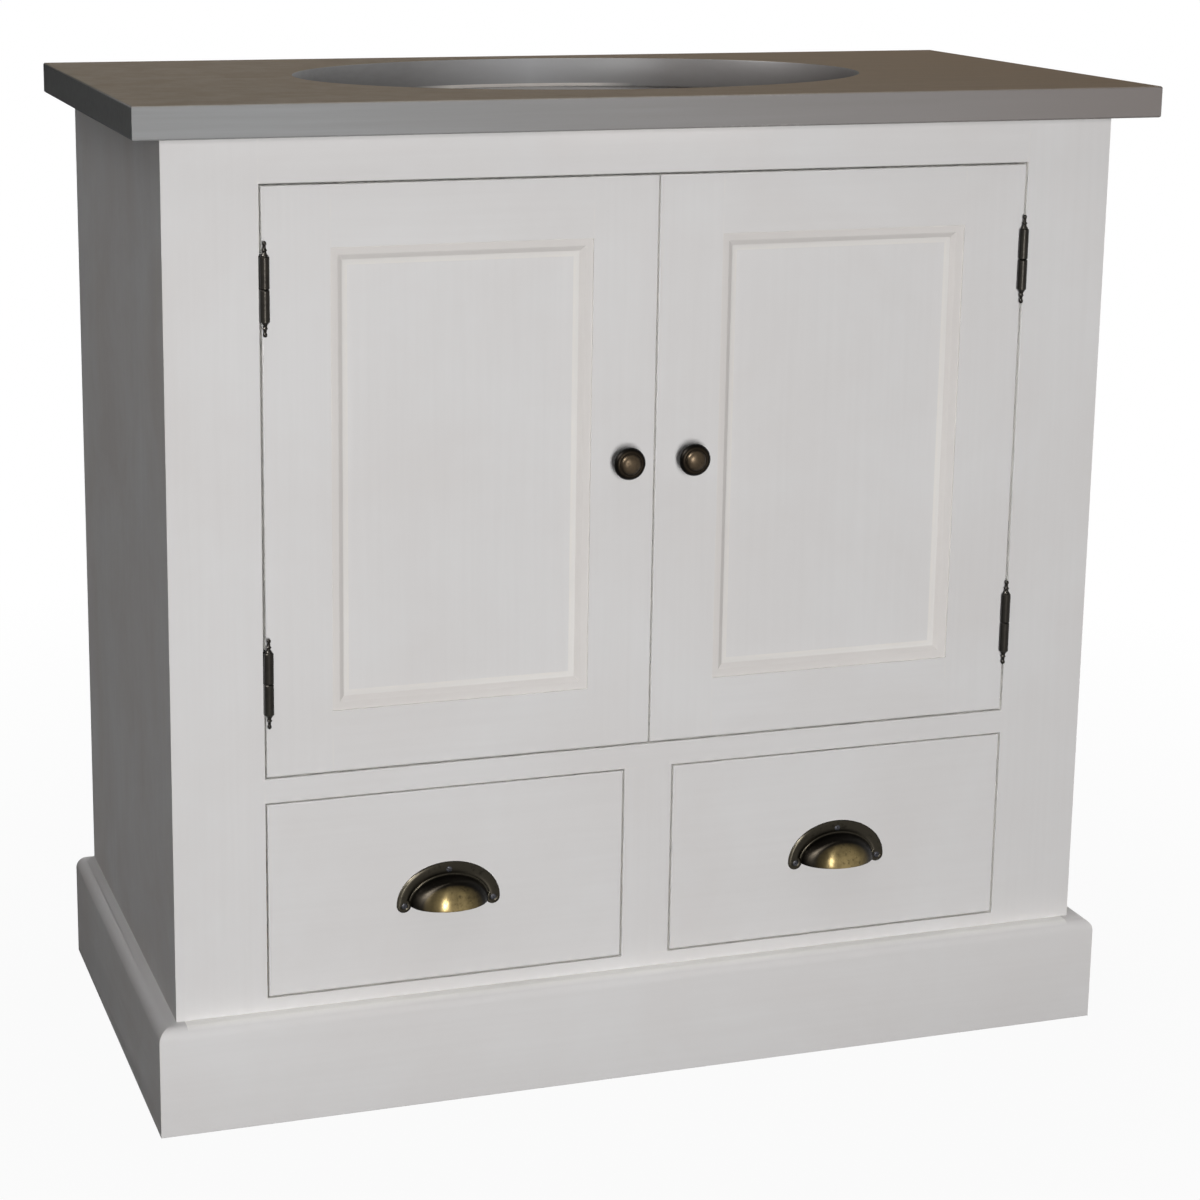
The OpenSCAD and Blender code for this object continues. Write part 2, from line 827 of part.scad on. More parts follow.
// A door stile from x0 to x1. Its grooved edge faces way, which is 1 or -1.
module door_stile(x0, x1, way) {
    edge = way > 0 ? x1 : x0;
    difference() {
        block([x0, front_y, leaf_z0], [x1, front_y + door_t, leaf_z1]);
        door_slot(edge, way, panel_groove, panel_z0 - panel_groove, panel_z1 + panel_groove);
        for (z = door_tenon_zs)
            door_slot(edge, way, door_tenon_l + fit, z[0] - fit, z[1] + fit);
    }
}

// A slot into a stile's edge
module door_slot(edge, way, depth, z0, z1) {
    x0 = way > 0 ? edge - depth : edge - past;
    block([x0, door_groove_y0, z0], [x0 + depth + past, door_groove_y1, z1]);
}

// A door rail from z0 to z1 with its tenons. Its grooved edge faces way, 1 up or -1 down.
module door_rail(z0, z1, tenon, way) {
    edge = way > 0 ? z1 : z0;
    groove_z = way > 0 ? edge - panel_groove : edge - past;
    difference() {
        union() {
            block([panel_x0, front_y, z0], [panel_x1, front_y + door_t, z1]);
            block([panel_x0 - door_tenon_l, panel_y, tenon[0]],
                  [panel_x1 + door_tenon_l, panel_y + panel_t, tenon[1]]);
        }
        block([panel_x0 - past, door_groove_y0, groove_z],
              [panel_x1 + past, door_groove_y1, groove_z + panel_groove + past]);
    }
}

module left_door_hinge_stile() {
    color(paint)
    difference() {
        door_stile(leaf_x0, panel_x0, 1);
        for (z = hinge_zs)
            block([leaf_x0 - past, front_y - past, z - barrel_l / 2 - fit],
                  [leaf_x0 + leaf_recess, front_y + leaf_d + fit, z + barrel_l / 2 + fit]);
        leaf_screws(1, fit);
    }
}

module left_door_meeting_stile() {
    color(paint)
    difference() {
        door_stile(panel_x1, leaf_x1, -1);
        knob_bolt(fit);
        strike_screw(fit);
    }
}

module left_door_top_rail() {
    color(paint) door_rail(panel_z1, leaf_z1, door_tenon_zs[1], -1);
}

module left_door_bottom_rail() {
    color(paint) door_rail(leaf_z0, panel_z0, door_tenon_zs[0], 1);
}

module left_door_panel() {
    reach = panel_groove - panel_play;
    color(paint)
        block([panel_x0 - reach, panel_y, panel_z0 - reach],
              [panel_x1 + reach, panel_y + panel_t, panel_z1 + reach]);
}

// The moulding's section: s is the distance in from the door's frame, h the height
function mould_section() = concat(
    [[0, 0], [0, mould_h]],
    arc([mould_flat, mould_fillet_h], mould_round, mould_h - mould_fillet_h, 90, 0, steps),
    [[mould_flat + mould_round + mould_fillet, mould_fillet_h], [mould_w, 0]]
);

// One mitred length, lying along X on the panel, with its outer edge at the origin
module mould_length(length) {
    half = length / 2 - fit / 2;
    intersection() {
        along_x(-half, half) polygon([for (p = mould_section()) [-p[1], p[0]]]);
        along_y(-panel_recess, 0)
            polygon([[-half, 0], [half, 0], [half - mould_w, mould_w], [mould_w - half, mould_w]]);
    }
}

module left_door_moulding() {
    w = panel_x1 - panel_x0;
    h = panel_z1 - panel_z0;
    color(paint)
    translate([(panel_x0 + panel_x1) / 2, panel_y, (panel_z0 + panel_z1) / 2]) {
        for (turn = [0, 180]) rotate([0, turn, 0]) translate([0, 0, -h / 2]) mould_length(w);
        for (turn = [90, 270]) rotate([0, turn, 0]) translate([0, 0, -w / 2]) mould_length(h);
    }
}

// The knob's outline, as radius and distance from the door
function knob_outline() = let (
    ring_y = knob_out - knob_dome_h,
    ring_r = knob_r - knob_rim,
    dome_r = ring_r - knob_groove,
    flare = knob_foot_r - knob_neck_r
) concat(
    [[0, 0], [knob_foot_r, 0], [knob_foot_r, knob_foot_h]],
    arc([knob_foot_r, knob_foot_h + flare], flare, flare, 270, 180, steps),
    arc([knob_neck_r, ring_y - knob_rim], knob_r - knob_neck_r, knob_swell_h, 270, 360, steps),
    arc([ring_r, ring_y - knob_rim], knob_rim, knob_rim, 0, 90, steps),
    arc([0, ring_y - knob_groove], dome_r, knob_dome_h + knob_groove, 0, 90, 2 * steps)
);

module left_door_knob() {
    color(antique_brass)
    difference() {
        translate([knob_x, front_y, knob_z]) rotate([90, 0, 0]) rotate_extrude() polygon(knob_outline());
        knob_bolt(fit / 2);
    }
}

module left_door_hinge_leaves() {
    color(dark_bronze)
    difference() {
        for (z = hinge_zs) translate([hinge_x, hinge_y, z]) hinge_leaf(1, 1, pin_r + pin_play);
        leaf_screws(1, fit);
    }
}

module left_door_strike() {
    y = front_y + door_t;
    color(steel)
    difference() {
        block([strike_x - strike_w / 2, y, strike_z - strike_h / 2],
              [strike_x + strike_w / 2, y + strike_t, strike_z + strike_h / 2]);
        strike_screw(fit);
    }
}

module left_door_screws() {
    color(steel) {
        leaf_screws(1);
        knob_bolt();
        strike_screw();
    }
}

module right_door_hinge_stile() {
    on_right() left_door_hinge_stile();
}

module right_door_meeting_stile() {
    on_right() left_door_meeting_stile();
}

module right_door_top_rail() {
    on_right() left_door_top_rail();
}

module right_door_bottom_rail() {
    on_right() left_door_bottom_rail();
}

module right_door_panel() {
    on_right() left_door_panel();
}

module right_door_moulding() {
    on_right() left_door_moulding();
}

module right_door_knob() {
    on_right() left_door_knob();
}

module right_door_hinge_leaves() {
    on_right() left_door_hinge_leaves();
}

module right_door_strike() {
    on_right() left_door_strike();
}

module right_door_screws() {
    on_right() left_door_screws();
}

// Right drawer; the left drawer is its mirror image

// The dovetails of one side in Y and Z, wide at their front ends, with a neck that runs into
// the side's board. With room, the sockets that they slide into.
module dovetail_outlines(room = 0) {
    y0 = drawer_in_y - dovetail_l - room;
    y1 = drawer_in_y + past;
    wide = dovetail_w / 2 + room;
    slim = wide - dovetail_taper;
    for (i = [0:dovetails - 1]) {
        z = front_z0 + (i + 0.5) * dovetail_pitch;
        polygon([
            [y0, z - wide], [y0, z + wide], [drawer_in_y, z + slim], [y1, z + slim],
            [y1, z - slim], [drawer_in_y, z - slim]
        ]);
    }
}

// A drawer side between x0 and x1. Its inner face looks towards way, which is 1 or -1.
module drawer_side(x0, x1, way) {
    groove_x = way > 0 ? x1 - drawer_groove : x0 - past;
    groove_w = drawer_groove + past;
    difference() {
        union() {
            block([x0, drawer_in_y, side_z0], [x1, drawer_end_y, side_z1]);
            along_x(x0, x1) dovetail_outlines();
        }
        // Groove for the bottom
        block([groove_x, front_y, bottom_z - fit],
              [groove_x + groove_w, drawer_end_y + past, bottom_z + drawer_bottom_t + fit]);
        // Housing for the back
        block([groove_x, back_piece_y0 - fit, bottom_z + drawer_bottom_t],
              [groove_x + groove_w, back_piece_y0 + drawer_side_t + fit, side_z1 + past]);
    }
}

// The drawer's back stands on the bottom, its own thickness in from the sides' ends
back_piece_y0 = drawer_end_y - 2 * drawer_side_t;

module right_drawer_front() {
    color(paint)
    difference() {
        block([drawer_x0, front_y, front_z0], [drawer_x1, drawer_in_y, front_z1]);
        for (x = [drawer_x0 - past, drawer_in1])
            along_x(x, x + drawer_side_t + past) dovetail_outlines(fit);
        // Groove for the bottom
        block([drawer_in0 - drawer_groove, drawer_in_y - drawer_groove - fit, bottom_z - fit],
              [drawer_in1 + drawer_groove, drawer_in_y + past, bottom_z + drawer_bottom_t + fit]);
        pull_screw_set(fit);
    }
}

module right_drawer_left_side() {
    color(pine) drawer_side(drawer_x0, drawer_in0, 1);
}

module right_drawer_right_side() {
    color(pine) drawer_side(drawer_in1, drawer_x1, -1);
}

module right_drawer_back() {
    color(pine)
        block([drawer_in0 - drawer_groove, back_piece_y0, bottom_z + drawer_bottom_t],
              [drawer_in1 + drawer_groove, back_piece_y0 + drawer_side_t, side_z1 - drawer_back_drop]);
}

module right_drawer_bottom() {
    color(plywood)
        block([drawer_in0 - drawer_groove, drawer_in_y - drawer_groove, bottom_z],
              [drawer_in1 + drawer_groove, drawer_end_y, bottom_z + drawer_bottom_t]);
}

// The pull's flange: a crescent with a round foot at each end
function pull_outline() = concat(
    arc([0, 0], pull_a, pull_b, 0, 180, 4 * steps),
    arc([-pull_a + pull_foot_r, 0], pull_foot_r, pull_foot_r, 180, 360, steps),
    arc([0, 0], pull_in_a, pull_in_b, 180, 0, 4 * steps),
    arc([pull_a - pull_foot_r, 0], pull_foot_r, pull_foot_r, 180, 360, steps)
);

// Half an egg-shaped dome standing on the drawer front, size_off smaller all round
module cup_dome(size_off) {
    a = pull_in_a + pull_wall - size_off;
    scale([1, (pull_out - size_off) / a, (pull_in_b + pull_wall - size_off) / a]) sphere(r = a);
}

module right_drawer_pull() {
    color(antique_brass)
    difference() {
        translate([drawer_mid, front_y, pull_z]) {
            along_y(-pull_flange_t, 0) polygon(pull_outline());
            difference() {
                intersection() {
                    cup_dome(0);
                    block([-pull_a, -pull_out, 0], [pull_a, 0, pull_b]);
                }
                cup_dome(pull_wall);
            }
        }
        pull_screw_set(fit);
    }
}

// Places of the pull's screws, from the middle of the line through its feet
pull_screw_places = [
    [-pull_a + pull_foot_r, 0],
    [0, pull_b - pull_foot_r],
    [pull_a - pull_foot_r, 0]
];

module pull_screw_set(room = 0) {
    for (p = pull_screw_places)
        translate([drawer_mid + p[0], front_y - pull_flange_t, pull_z + p[1]])
            rotate([-90, 0, 0])
                screw(screw_r, screw_head_r, screw_head_h, screw_l, room);
}

module right_drawer_pull_screws() {
    color(antique_brass) pull_screw_set();
}

module left_drawer_front() {
    on_right() right_drawer_front();
}

module left_drawer_left_side() {
    on_right() right_drawer_right_side();
}

module left_drawer_right_side() {
    on_right() right_drawer_left_side();
}

module left_drawer_back() {
    on_right() right_drawer_back();
}

module left_drawer_bottom() {
    on_right() right_drawer_bottom();
}

module left_drawer_pull() {
    on_right() right_drawer_pull();
}

module left_drawer_pull_screws() {
    on_right() right_drawer_pull_screws();
}

worktop();
left_side_panel();
right_side_panel();
back_panel();
rear_top_rail();
cupboard_floor();
base_board();
drawer_divider();
left_frame_stile();
right_frame_stile();
top_frame_rail();
middle_frame_rail();
bottom_frame_rail();
drawer_mullion();
plinth_front();
plinth_left();
plinth_right();
plinth_blocks();
top_cleats();
worktop_screws();
drawer_guides();
drawer_stops();
door_catch();
frame_hinge_leaves();
hinge_pins();
cabinet_screws();
left_door_hinge_stile();
left_door_meeting_stile();
left_door_top_rail();
left_door_bottom_rail();
left_door_panel();
left_door_moulding();
left_door_knob();
left_door_hinge_leaves();
left_door_strike();
left_door_screws();
right_door_hinge_stile();
right_door_meeting_stile();
right_door_top_rail();
right_door_bottom_rail();
right_door_panel();
right_door_moulding();
right_door_knob();
right_door_hinge_leaves();
right_door_strike();
right_door_screws();
left_drawer_front();
left_drawer_left_side();
left_drawer_right_side();
left_drawer_back();
left_drawer_bottom();
left_drawer_pull();
left_drawer_pull_screws();
right_drawer_front();
right_drawer_left_side();
right_drawer_right_side();
right_drawer_back();
right_drawer_bottom();
right_drawer_pull();
right_drawer_pull_screws();
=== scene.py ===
# %% [markdown]
# A painted vanity unit, dressed for the camera.
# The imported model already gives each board, hinge and screw its true size and place. These cells
# build what it leaves out: softened arrises, turned metal, slotted screws, brushed paint and grain.

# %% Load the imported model
import json
import math

import bmesh
import bpy
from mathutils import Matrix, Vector
from mathutils.bvhtree import BVHTree


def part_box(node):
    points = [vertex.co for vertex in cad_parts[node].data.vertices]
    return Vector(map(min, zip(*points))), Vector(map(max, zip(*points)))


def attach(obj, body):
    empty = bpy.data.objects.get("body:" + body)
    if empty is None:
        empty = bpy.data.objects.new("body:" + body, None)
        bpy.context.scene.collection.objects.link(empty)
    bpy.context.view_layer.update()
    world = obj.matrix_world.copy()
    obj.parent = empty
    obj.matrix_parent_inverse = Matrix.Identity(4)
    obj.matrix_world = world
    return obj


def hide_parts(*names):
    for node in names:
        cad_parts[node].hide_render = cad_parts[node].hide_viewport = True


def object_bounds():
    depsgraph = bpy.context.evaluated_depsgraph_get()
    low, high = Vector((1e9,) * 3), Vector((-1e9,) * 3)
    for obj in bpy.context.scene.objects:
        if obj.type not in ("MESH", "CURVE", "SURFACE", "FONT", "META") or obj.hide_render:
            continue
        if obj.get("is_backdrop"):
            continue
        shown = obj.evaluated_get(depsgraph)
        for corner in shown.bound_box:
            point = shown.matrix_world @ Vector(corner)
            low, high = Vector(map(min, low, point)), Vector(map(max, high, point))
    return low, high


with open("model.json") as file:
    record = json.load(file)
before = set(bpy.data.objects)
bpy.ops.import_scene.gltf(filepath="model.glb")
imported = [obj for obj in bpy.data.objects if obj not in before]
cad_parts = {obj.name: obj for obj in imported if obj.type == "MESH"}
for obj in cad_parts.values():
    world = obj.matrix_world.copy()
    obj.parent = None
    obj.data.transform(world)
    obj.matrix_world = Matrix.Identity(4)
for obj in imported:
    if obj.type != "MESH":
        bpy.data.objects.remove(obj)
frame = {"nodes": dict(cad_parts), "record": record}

cad_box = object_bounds()
body_of_node = {n: body for body, names in frame["record"]["behaviour"]["bodies"].items() for n in names}
mm = 0.001
print("CAD box:", [round(x, 4) for corner in cad_box for x in corner])

# %% [markdown]
# The camera stands where the photographer stood: a little to the left, at chest height.
# It could be placed by eye, but corners measured in the photograph give its place, its turn and
# its lens by least squares. The photograph is an off-centre crop. The full shift for it would
# push the other views out of their frames, so a smaller one is used, which leaves the corners
# about 4 pixels off.

# %% Camera
def new_object(name, data):
    """An object in the scene."""
    made = bpy.data.objects.new(name, data)
    bpy.context.scene.collection.objects.link(made)
    return made


camera = new_object("camera", bpy.data.cameras.new("camera"))
camera.location = (-0.8311, -2.3554, 1.0660)
camera.rotation_euler = (1.3471, -0.009025, -0.313227)
camera.data.lens = 83.31
camera.data.sensor_width = 36
camera.data.shift_x = 0.07
camera.data.shift_y = -0.10
bpy.context.scene.camera = camera
print("Camera stands", round(camera.location.length, 2), "m from the middle of the unit")

# %% [markdown]
# Colours are picked from the photograph as a screen shows them, while a shader wants light
# amounts. This helper turns one into the other, so that every colour below reads as it looks.

# %% Screen colours
def screen(red, green, blue):
    """A colour picked on screen, as the shader's linear colour."""
    linear = [c / 12.92 if c < 0.04045 else ((c + 0.055) / 1.055) ** 2.4 for c in (red, green, blue)]
    return (*linear, 1.0)


print("Half grey on screen is", round(screen(0.5, 0.5, 0.5)[0], 3), "of the light")

# %% [markdown]
# One soft lamp stands behind the camera and a little to its right. Light that comes from the
# camera's own direction hides its shadows behind the edges that cast them, which is why the
# photograph shows none under the worktop. It also grazes the left side, which stays dark.
# A lamp as wide as a ceiling lights the top and the plinth's rounded edge. A small one at the
# upper left is seen only by glossy things: it is the glint on the metal. A weak one behind is
# for the other views.

# %% Lamps
def soft_lamp(name, place, target, size, power):
    """A rectangular area lamp, width by height, that faces a target."""
    data = bpy.data.lights.new(name, "AREA")
    data.shape = "RECTANGLE"
    data.size, data.size_y = size
    data.energy = power
    lamp = new_object(name, data)
    lamp.location = place
    lamp.rotation_mode = "QUATERNION"
    lamp.rotation_quaternion = (Vector(target) - Vector(place)).to_track_quat("-Z", "Y")
    return lamp


front_lamp = soft_lamp("front_lamp", (-0.85, -4.4, 0.95), (0, -0.2, 0.45), (0.6, 1.5), 158)
ceiling_lamp = soft_lamp("ceiling_lamp", (-0.3, 0.0, 3.0), (-0.3, 0.01, 0.0), (4.0, 4.0), 27)
glint_lamp = soft_lamp("glint_lamp", (-2.3, -0.75, 2.6), (0, -0.22, 0.55), (0.9, 0.9), 420)
glint_lamp.visible_diffuse = False
back_lamp = soft_lamp("back_lamp", (2.0, 2.6, 1.6), (0.2, 0.2, 0.5), (1.4, 1.4), 62)
back_lamp.visible_glossy = False
print("Lamps:", *[lamp.name for lamp in (front_lamp, ceiling_lamp, glint_lamp, back_lamp)])

# %% [markdown]
# Node trees get long when every socket is set by hand. The first helper adds a node, sets its
# options and fills its inputs with values or links. The others give the few steps that come up
# again and again, so that a material reads like a recipe.

# %% Node helpers
def add(tree, kind, inputs=None, **options):
    """Adds a node. inputs maps a socket's name or number to a value or another node's output."""
    made = tree.nodes.new(kind)
    for name, value in options.items():
        setattr(made, name, value)
    for key, value in (inputs or {}).items():
        if isinstance(value, bpy.types.NodeSocket):
            tree.links.new(value, made.inputs[key])
        else:
            made.inputs[key].default_value = value
    return made


def math_of(tree, operation, first, second=0.0, third=0.0, clamp=False):
    """A Math node's output."""
    inputs = {0: first, 1: second, 2: third}
    return add(tree, "ShaderNodeMath", inputs, operation=operation, use_clamp=clamp).outputs[0]


def times(tree, first, second, clamp=False):
    """Two values multiplied."""
    return math_of(tree, "MULTIPLY", first, second, clamp=clamp)


def how_far(tree, value, middle=None):
    """How far a value lies from zero, or from a middle, on either side."""
    if middle is not None:
        value = math_of(tree, "SUBTRACT", value, middle)
    return math_of(tree, "ABSOLUTE", value)


def below(tree, value, limit):
    """1 where a value lies below a limit, else 0."""
    return math_of(tree, "LESS_THAN", value, limit)


def split(tree, vector):
    """A vector's X, Y and Z."""
    return add(tree, "ShaderNodeSeparateXYZ", {0: vector}).outputs


def blend_of(tree, share, first, second):
    """Two colours mixed by a share."""
    return add(tree, "ShaderNodeMix", {0: share, 6: first, 7: second}, data_type="RGBA").outputs[2]


def span_of(tree, value, low, high, to_low=0.0, to_high=1.0):
    """A value taken from one range to another, and held inside it."""
    inputs = {"Value": value, "From Min": low, "From Max": high, "To Min": to_low, "To Max": to_high}
    return add(tree, "ShaderNodeMapRange", inputs).outputs["Result"]


def clouds(tree, place, scale, detail, roughness=0.5, distortion=0.0):
    """A Noise Texture's value."""
    inputs = {
        "Vector": place, "Scale": scale, "Detail": detail,
        "Roughness": roughness, "Distortion": distortion,
    }
    return add(tree, "ShaderNodeTexNoise", inputs).outputs[0]


helpers = (add, math_of, times, how_far, below, split, blend_of, span_of, clouds)
print("Helpers:", ", ".join(helper.__name__ for helper in helpers))

# %% [markdown]
# The floor is a pale sheet. To the camera and to glossy surfaces it is nearly white, by Light
# Path, so the page stays clean. Close to the unit it keeps a faint shadow, and further off it
# fades to the room's white, so no horizon shows. To all other light it is a middling grey, so
# it doesn't flood the dark side with bounced light. The room does the same.

# %% Floor
NEARLY_WHITE = 0.955
SHADOW_FADES = (0.5, 1.6)


def seen_directly(tree):
    """1 for camera, glossy and transmission rays, 0 for the light that bounces."""
    path = add(tree, "ShaderNodeLightPath").outputs
    total = math_of(tree, "ADD", path["Is Camera Ray"], path["Is Glossy Ray"])
    return math_of(tree, "ADD", total, path["Is Transmission Ray"], clamp=True)


floor_mesh = bpy.data.meshes.new("floor")
floor_mesh.from_pydata([(-9, -9, 0), (9, -9, 0), (9, 9, 0), (-9, 9, 0)], [], [(0, 1, 2, 3)])
floor = new_object("floor", floor_mesh)
floor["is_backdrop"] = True

sheet_paper = bpy.data.materials.new("pale floor")
sheet_paper.use_nodes = True
tree = sheet_paper.node_tree
tree.nodes.clear()
matte = add(tree, "ShaderNodeBsdfDiffuse", {"Color": (0.13, 0.13, 0.13, 1)}).outputs[0]
white = add(tree, "ShaderNodeEmission", {"Color": (1, 1, 1, 1), "Strength": 1.0}).outputs[0]
spot = add(tree, "ShaderNodeTexCoord").outputs["Object"]
far = add(tree, "ShaderNodeVectorMath", {0: spot}, operation="LENGTH").outputs["Value"]
share = times(tree, seen_directly(tree), span_of(tree, far, *SHADOW_FADES, NEARLY_WHITE, 1.0))
both = add(tree, "ShaderNodeMixShader", {0: share, 1: matte, 2: white}).outputs[0]
add(tree, "ShaderNodeOutputMaterial", {"Surface": both})
floor_mesh.materials.append(sheet_paper)
print("Floor:", sheet_paper.name)

# %% Room
room = bpy.data.worlds.new("room")
room.use_nodes = True
bpy.context.scene.world = room
tree = room.node_tree
tree.nodes.clear()
strength = span_of(tree, seen_directly(tree), 0.0, 1.0, 0.01, 1.0)
sky = add(tree, "ShaderNodeBackground", {"Color": (1, 1, 1, 1), "Strength": strength}).outputs[0]
add(tree, "ShaderNodeOutputWorld", {"Surface": sky})
bpy.context.scene.view_settings.view_transform = "Standard"
print("Room made, view transform", bpy.context.scene.view_settings.view_transform)

# %% [markdown]
# An effect that several finishes share is built once, as a node group with named sockets.
# Brush marks are noise on a place that was squeezed along the board, so each speck becomes a
# long streak. The group gives the streaks and softer patches, and each paint chooses its amounts.

# %% Shared effects: helper and brush marks
def new_group(name, inputs, outputs):
    """An empty node group with its sockets: (name, kind, first value) and (name, kind)."""
    group = bpy.data.node_groups.new(name, "ShaderNodeTree")
    for label, kind, value in inputs:
        socket = group.interface.new_socket(name=label, in_out="INPUT", socket_type=kind)
        if value is not None:
            socket.default_value = value
    for label, kind in outputs:
        group.interface.new_socket(name=label, in_out="OUTPUT", socket_type=kind)
    return group, group.nodes.new("NodeGroupInput").outputs, group.nodes.new("NodeGroupOutput").inputs


NUMBER = "NodeSocketFloat"
PLACE = "NodeSocketVector"

brush_marks, given, gives = new_group(
    "Brush marks",
    [("Squeezed place", PLACE, None), ("Place", PLACE, None)],
    [("Streaks", NUMBER), ("Bristles", NUMBER), ("Patches", NUMBER)],
)
wide = clouds(brush_marks, given["Squeezed place"], 170.0, 3.0, 0.55)
thin = clouds(brush_marks, given["Squeezed place"], 620.0, 2.0, 0.5)
soft = clouds(brush_marks, given["Place"], 7.0, 4.0, 0.6, 0.4)
brush_marks.links.new(span_of(brush_marks, wide, 0.32, 0.68), gives["Streaks"])
brush_marks.links.new(thin, gives["Bristles"])
brush_marks.links.new(span_of(brush_marks, soft, 0.35, 0.65), gives["Patches"])
print("Group:", brush_marks.name, [s.name for s in brush_marks.interface.items_tree])

# %% [markdown]
# Hands and cloths rub the arrises first. A Bevel node looks round each corner, and where its
# normal leaves the surface's own, there is an edge. Broken up by noise, that is a rub mask.

# %% Shared effects: rubbed edges
rubbed_edges, given, gives = new_group(
    "Rubbed edges",
    [("Place", PLACE, None), ("Width", NUMBER, 0.002), ("Amount", NUMBER, 0.5), ("Speckle", NUMBER, 60.0)],
    [("Mask", NUMBER)],
)
turned_away = add(rubbed_edges, "ShaderNodeBevel", {"Radius": given["Width"]}, samples=4).outputs[0]
surface = add(rubbed_edges, "ShaderNodeNewGeometry").outputs["Normal"]
alike = add(rubbed_edges, "ShaderNodeVectorMath", {0: turned_away, 1: surface}, operation="DOT_PRODUCT")
edge = span_of(rubbed_edges, alike.outputs["Value"], 0.98, 0.80)
speckle = clouds(rubbed_edges, given["Place"], given["Speckle"], 4.0, 0.65)
mask = times(rubbed_edges, edge, span_of(rubbed_edges, speckle, 0.42, 0.60))
rubbed_edges.links.new(times(rubbed_edges, mask, given["Amount"], clamp=True), gives["Mask"])
print("Group:", rubbed_edges.name, [s.name for s in rubbed_edges.interface.items_tree])

# %% [markdown]
# Every finish is a Principled BSDF that gets a colour, a sheen and a bump. The helpers below
# start one, place a shared effect in it, and link the three at the end. An effect that follows
# the wood or the brush gets the place squeezed along that way, by a Mapping node.

# %% Finish helpers
SQUEEZE = {"across": (0.03, 1, 1), "deep": (1, 0.03, 1), "upright": (1, 1, 0.03)}


def new_finish(name, roughness, specular, metallic=0.0):
    """A material, its tree, its shader and its Object place, with constants on the shader's sockets."""
    material = bpy.data.materials.new(name)
    material.use_nodes = True
    tree = material.node_tree
    shader = tree.nodes["Principled BSDF"]
    shader.inputs["Roughness"].default_value = roughness
    shader.inputs["Specular IOR Level"].default_value = specular
    shader.inputs["Metallic"].default_value = metallic
    place = add(tree, "ShaderNodeTexCoord").outputs["Object"]
    return material, tree, shader, place


def effect(tree, group, place, **values):
    """A shared effect placed in a material, with its own values."""
    return add(tree, "ShaderNodeGroup", {"Place": place, **values}, node_tree=group).outputs


def effect_along(tree, group, place, way, **values):
    """A shared effect that follows the way that the wood or the brush runs."""
    squeezed = add(tree, "ShaderNodeMapping", {"Vector": place, "Scale": SQUEEZE[way]}).outputs[0]
    inputs = {"Squeezed place": squeezed, "Place": place, **values}
    return add(tree, "ShaderNodeGroup", inputs, node_tree=group).outputs


def dress(tree, shader, colour, sheen, height, strength, distance):
    """Links a colour, a sheen and a bump: a height from 0 to 1, times a distance in metres."""
    tree.links.new(colour, shader.inputs["Base Color"])
    tree.links.new(sheen, shader.inputs["Roughness"])
    lift = add(tree, "ShaderNodeBump", {"Height": height, "Strength": strength, "Distance": distance})
    tree.links.new(lift.outputs[0], shader.inputs["Normal"])


def facing_of(tree):
    """The surface's normal as X, Y and Z of its own object, so it holds when a door turns."""
    return split(tree, add(tree, "ShaderNodeTexCoord").outputs["Normal"])


print("Ways that boards run:", ", ".join(SQUEEZE))

# %% [markdown]
# The paint is an eggshell off-white, brushed along each board. It needs one material for each
# way that a board can run, so that the strokes follow the wood. The strokes move the colour by
# a hair, the sheen a little more, and the bump by hundredths of a millimetre. The sides are
# darker in patches, a thinner coat and painted shade. The arrises show a warmer, thinner coat.
# The walls of the gaps round doors and drawers are painted a paler cream: painted light there.

# %% Paint
frame_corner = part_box("left_frame_stile")[0]
FACE = frame_corner.y
GAP_DEPTH = 24 * mm
OUTER_EDGE = 7 * mm
OFF_WHITE = ((0.842, 0.836, 0.834), (0.824, 0.817, 0.814))
LIT_CREAM = ((0.868, 0.858, 0.845), (0.852, 0.841, 0.826))
BEIGE = ((0.838, 0.823, 0.811), (0.822, 0.805, 0.792))


def painted_light_in_gaps(tree, place):
    """1 on edges that face a gap in the front, by the surface's normal and place: they get painted light."""
    spot = split(tree, place)
    edge = span_of(tree, how_far(tree, facing_of(tree)["Y"]), 0.75, 0.25)
    front = below(tree, spot["Y"], FACE + GAP_DEPTH)
    inside = below(tree, how_far(tree, spot["X"]), abs(frame_corner.x) - OUTER_EDGE)
    return times(tree, edge, times(tree, front, inside))


def brushed_paint(name, way, coat, shade):
    """Eggshell paint in two close colours, brushed along one way."""
    material, tree, shader, place = new_finish(name, 0.6, 0.06)
    marks = effect_along(tree, brush_marks, place, way)
    streaky = blend_of(tree, times(tree, marks["Streaks"], 0.4), screen(*coat), screen(*shade))
    # Painted shade, with a thinner coat: faces turned sideways take more of the darker patches.
    sideways = how_far(tree, facing_of(tree)["X"])
    thin_coat_and_painted_shade = times(tree, marks["Patches"], span_of(tree, sideways, 0.5, 1.0, 0.3, 0.9))
    patchy = blend_of(tree, thin_coat_and_painted_shade, streaky, screen(0.800, 0.780, 0.770))
    rub = effect(tree, rubbed_edges, place, Amount=0.35)["Mask"]
    worn = blend_of(tree, rub, patchy, screen(0.875, 0.855, 0.825))
    # Painted light: the walls of the gaps are painted paler, against the shade inside them.
    colour = blend_of(tree, painted_light_in_gaps(tree, place), worn, screen(0.95, 0.945, 0.932))
    sheen = span_of(tree, marks["Streaks"], 0, 1, 0.54, 0.66)
    height = math_of(tree, "MULTIPLY_ADD", marks["Bristles"], 0.5, marks["Streaks"])
    dress(tree, shader, colour, sheen, height, 0.4, 0.06 * mm)
    return material


paint = {way: brushed_paint("paint brushed " + way, way, *OFF_WHITE) for way in SQUEEZE}
painted_light_cream = {way: brushed_paint("cream paint brushed " + way, way, *LIT_CREAM) for way in ("across", "upright")}
beige = {way: brushed_paint("beige paint brushed " + way, way, *BEIGE) for way in ("across", "upright")}
print("Paints:", [m.name for table in (paint, painted_light_cream, beige) for m in table.values()])
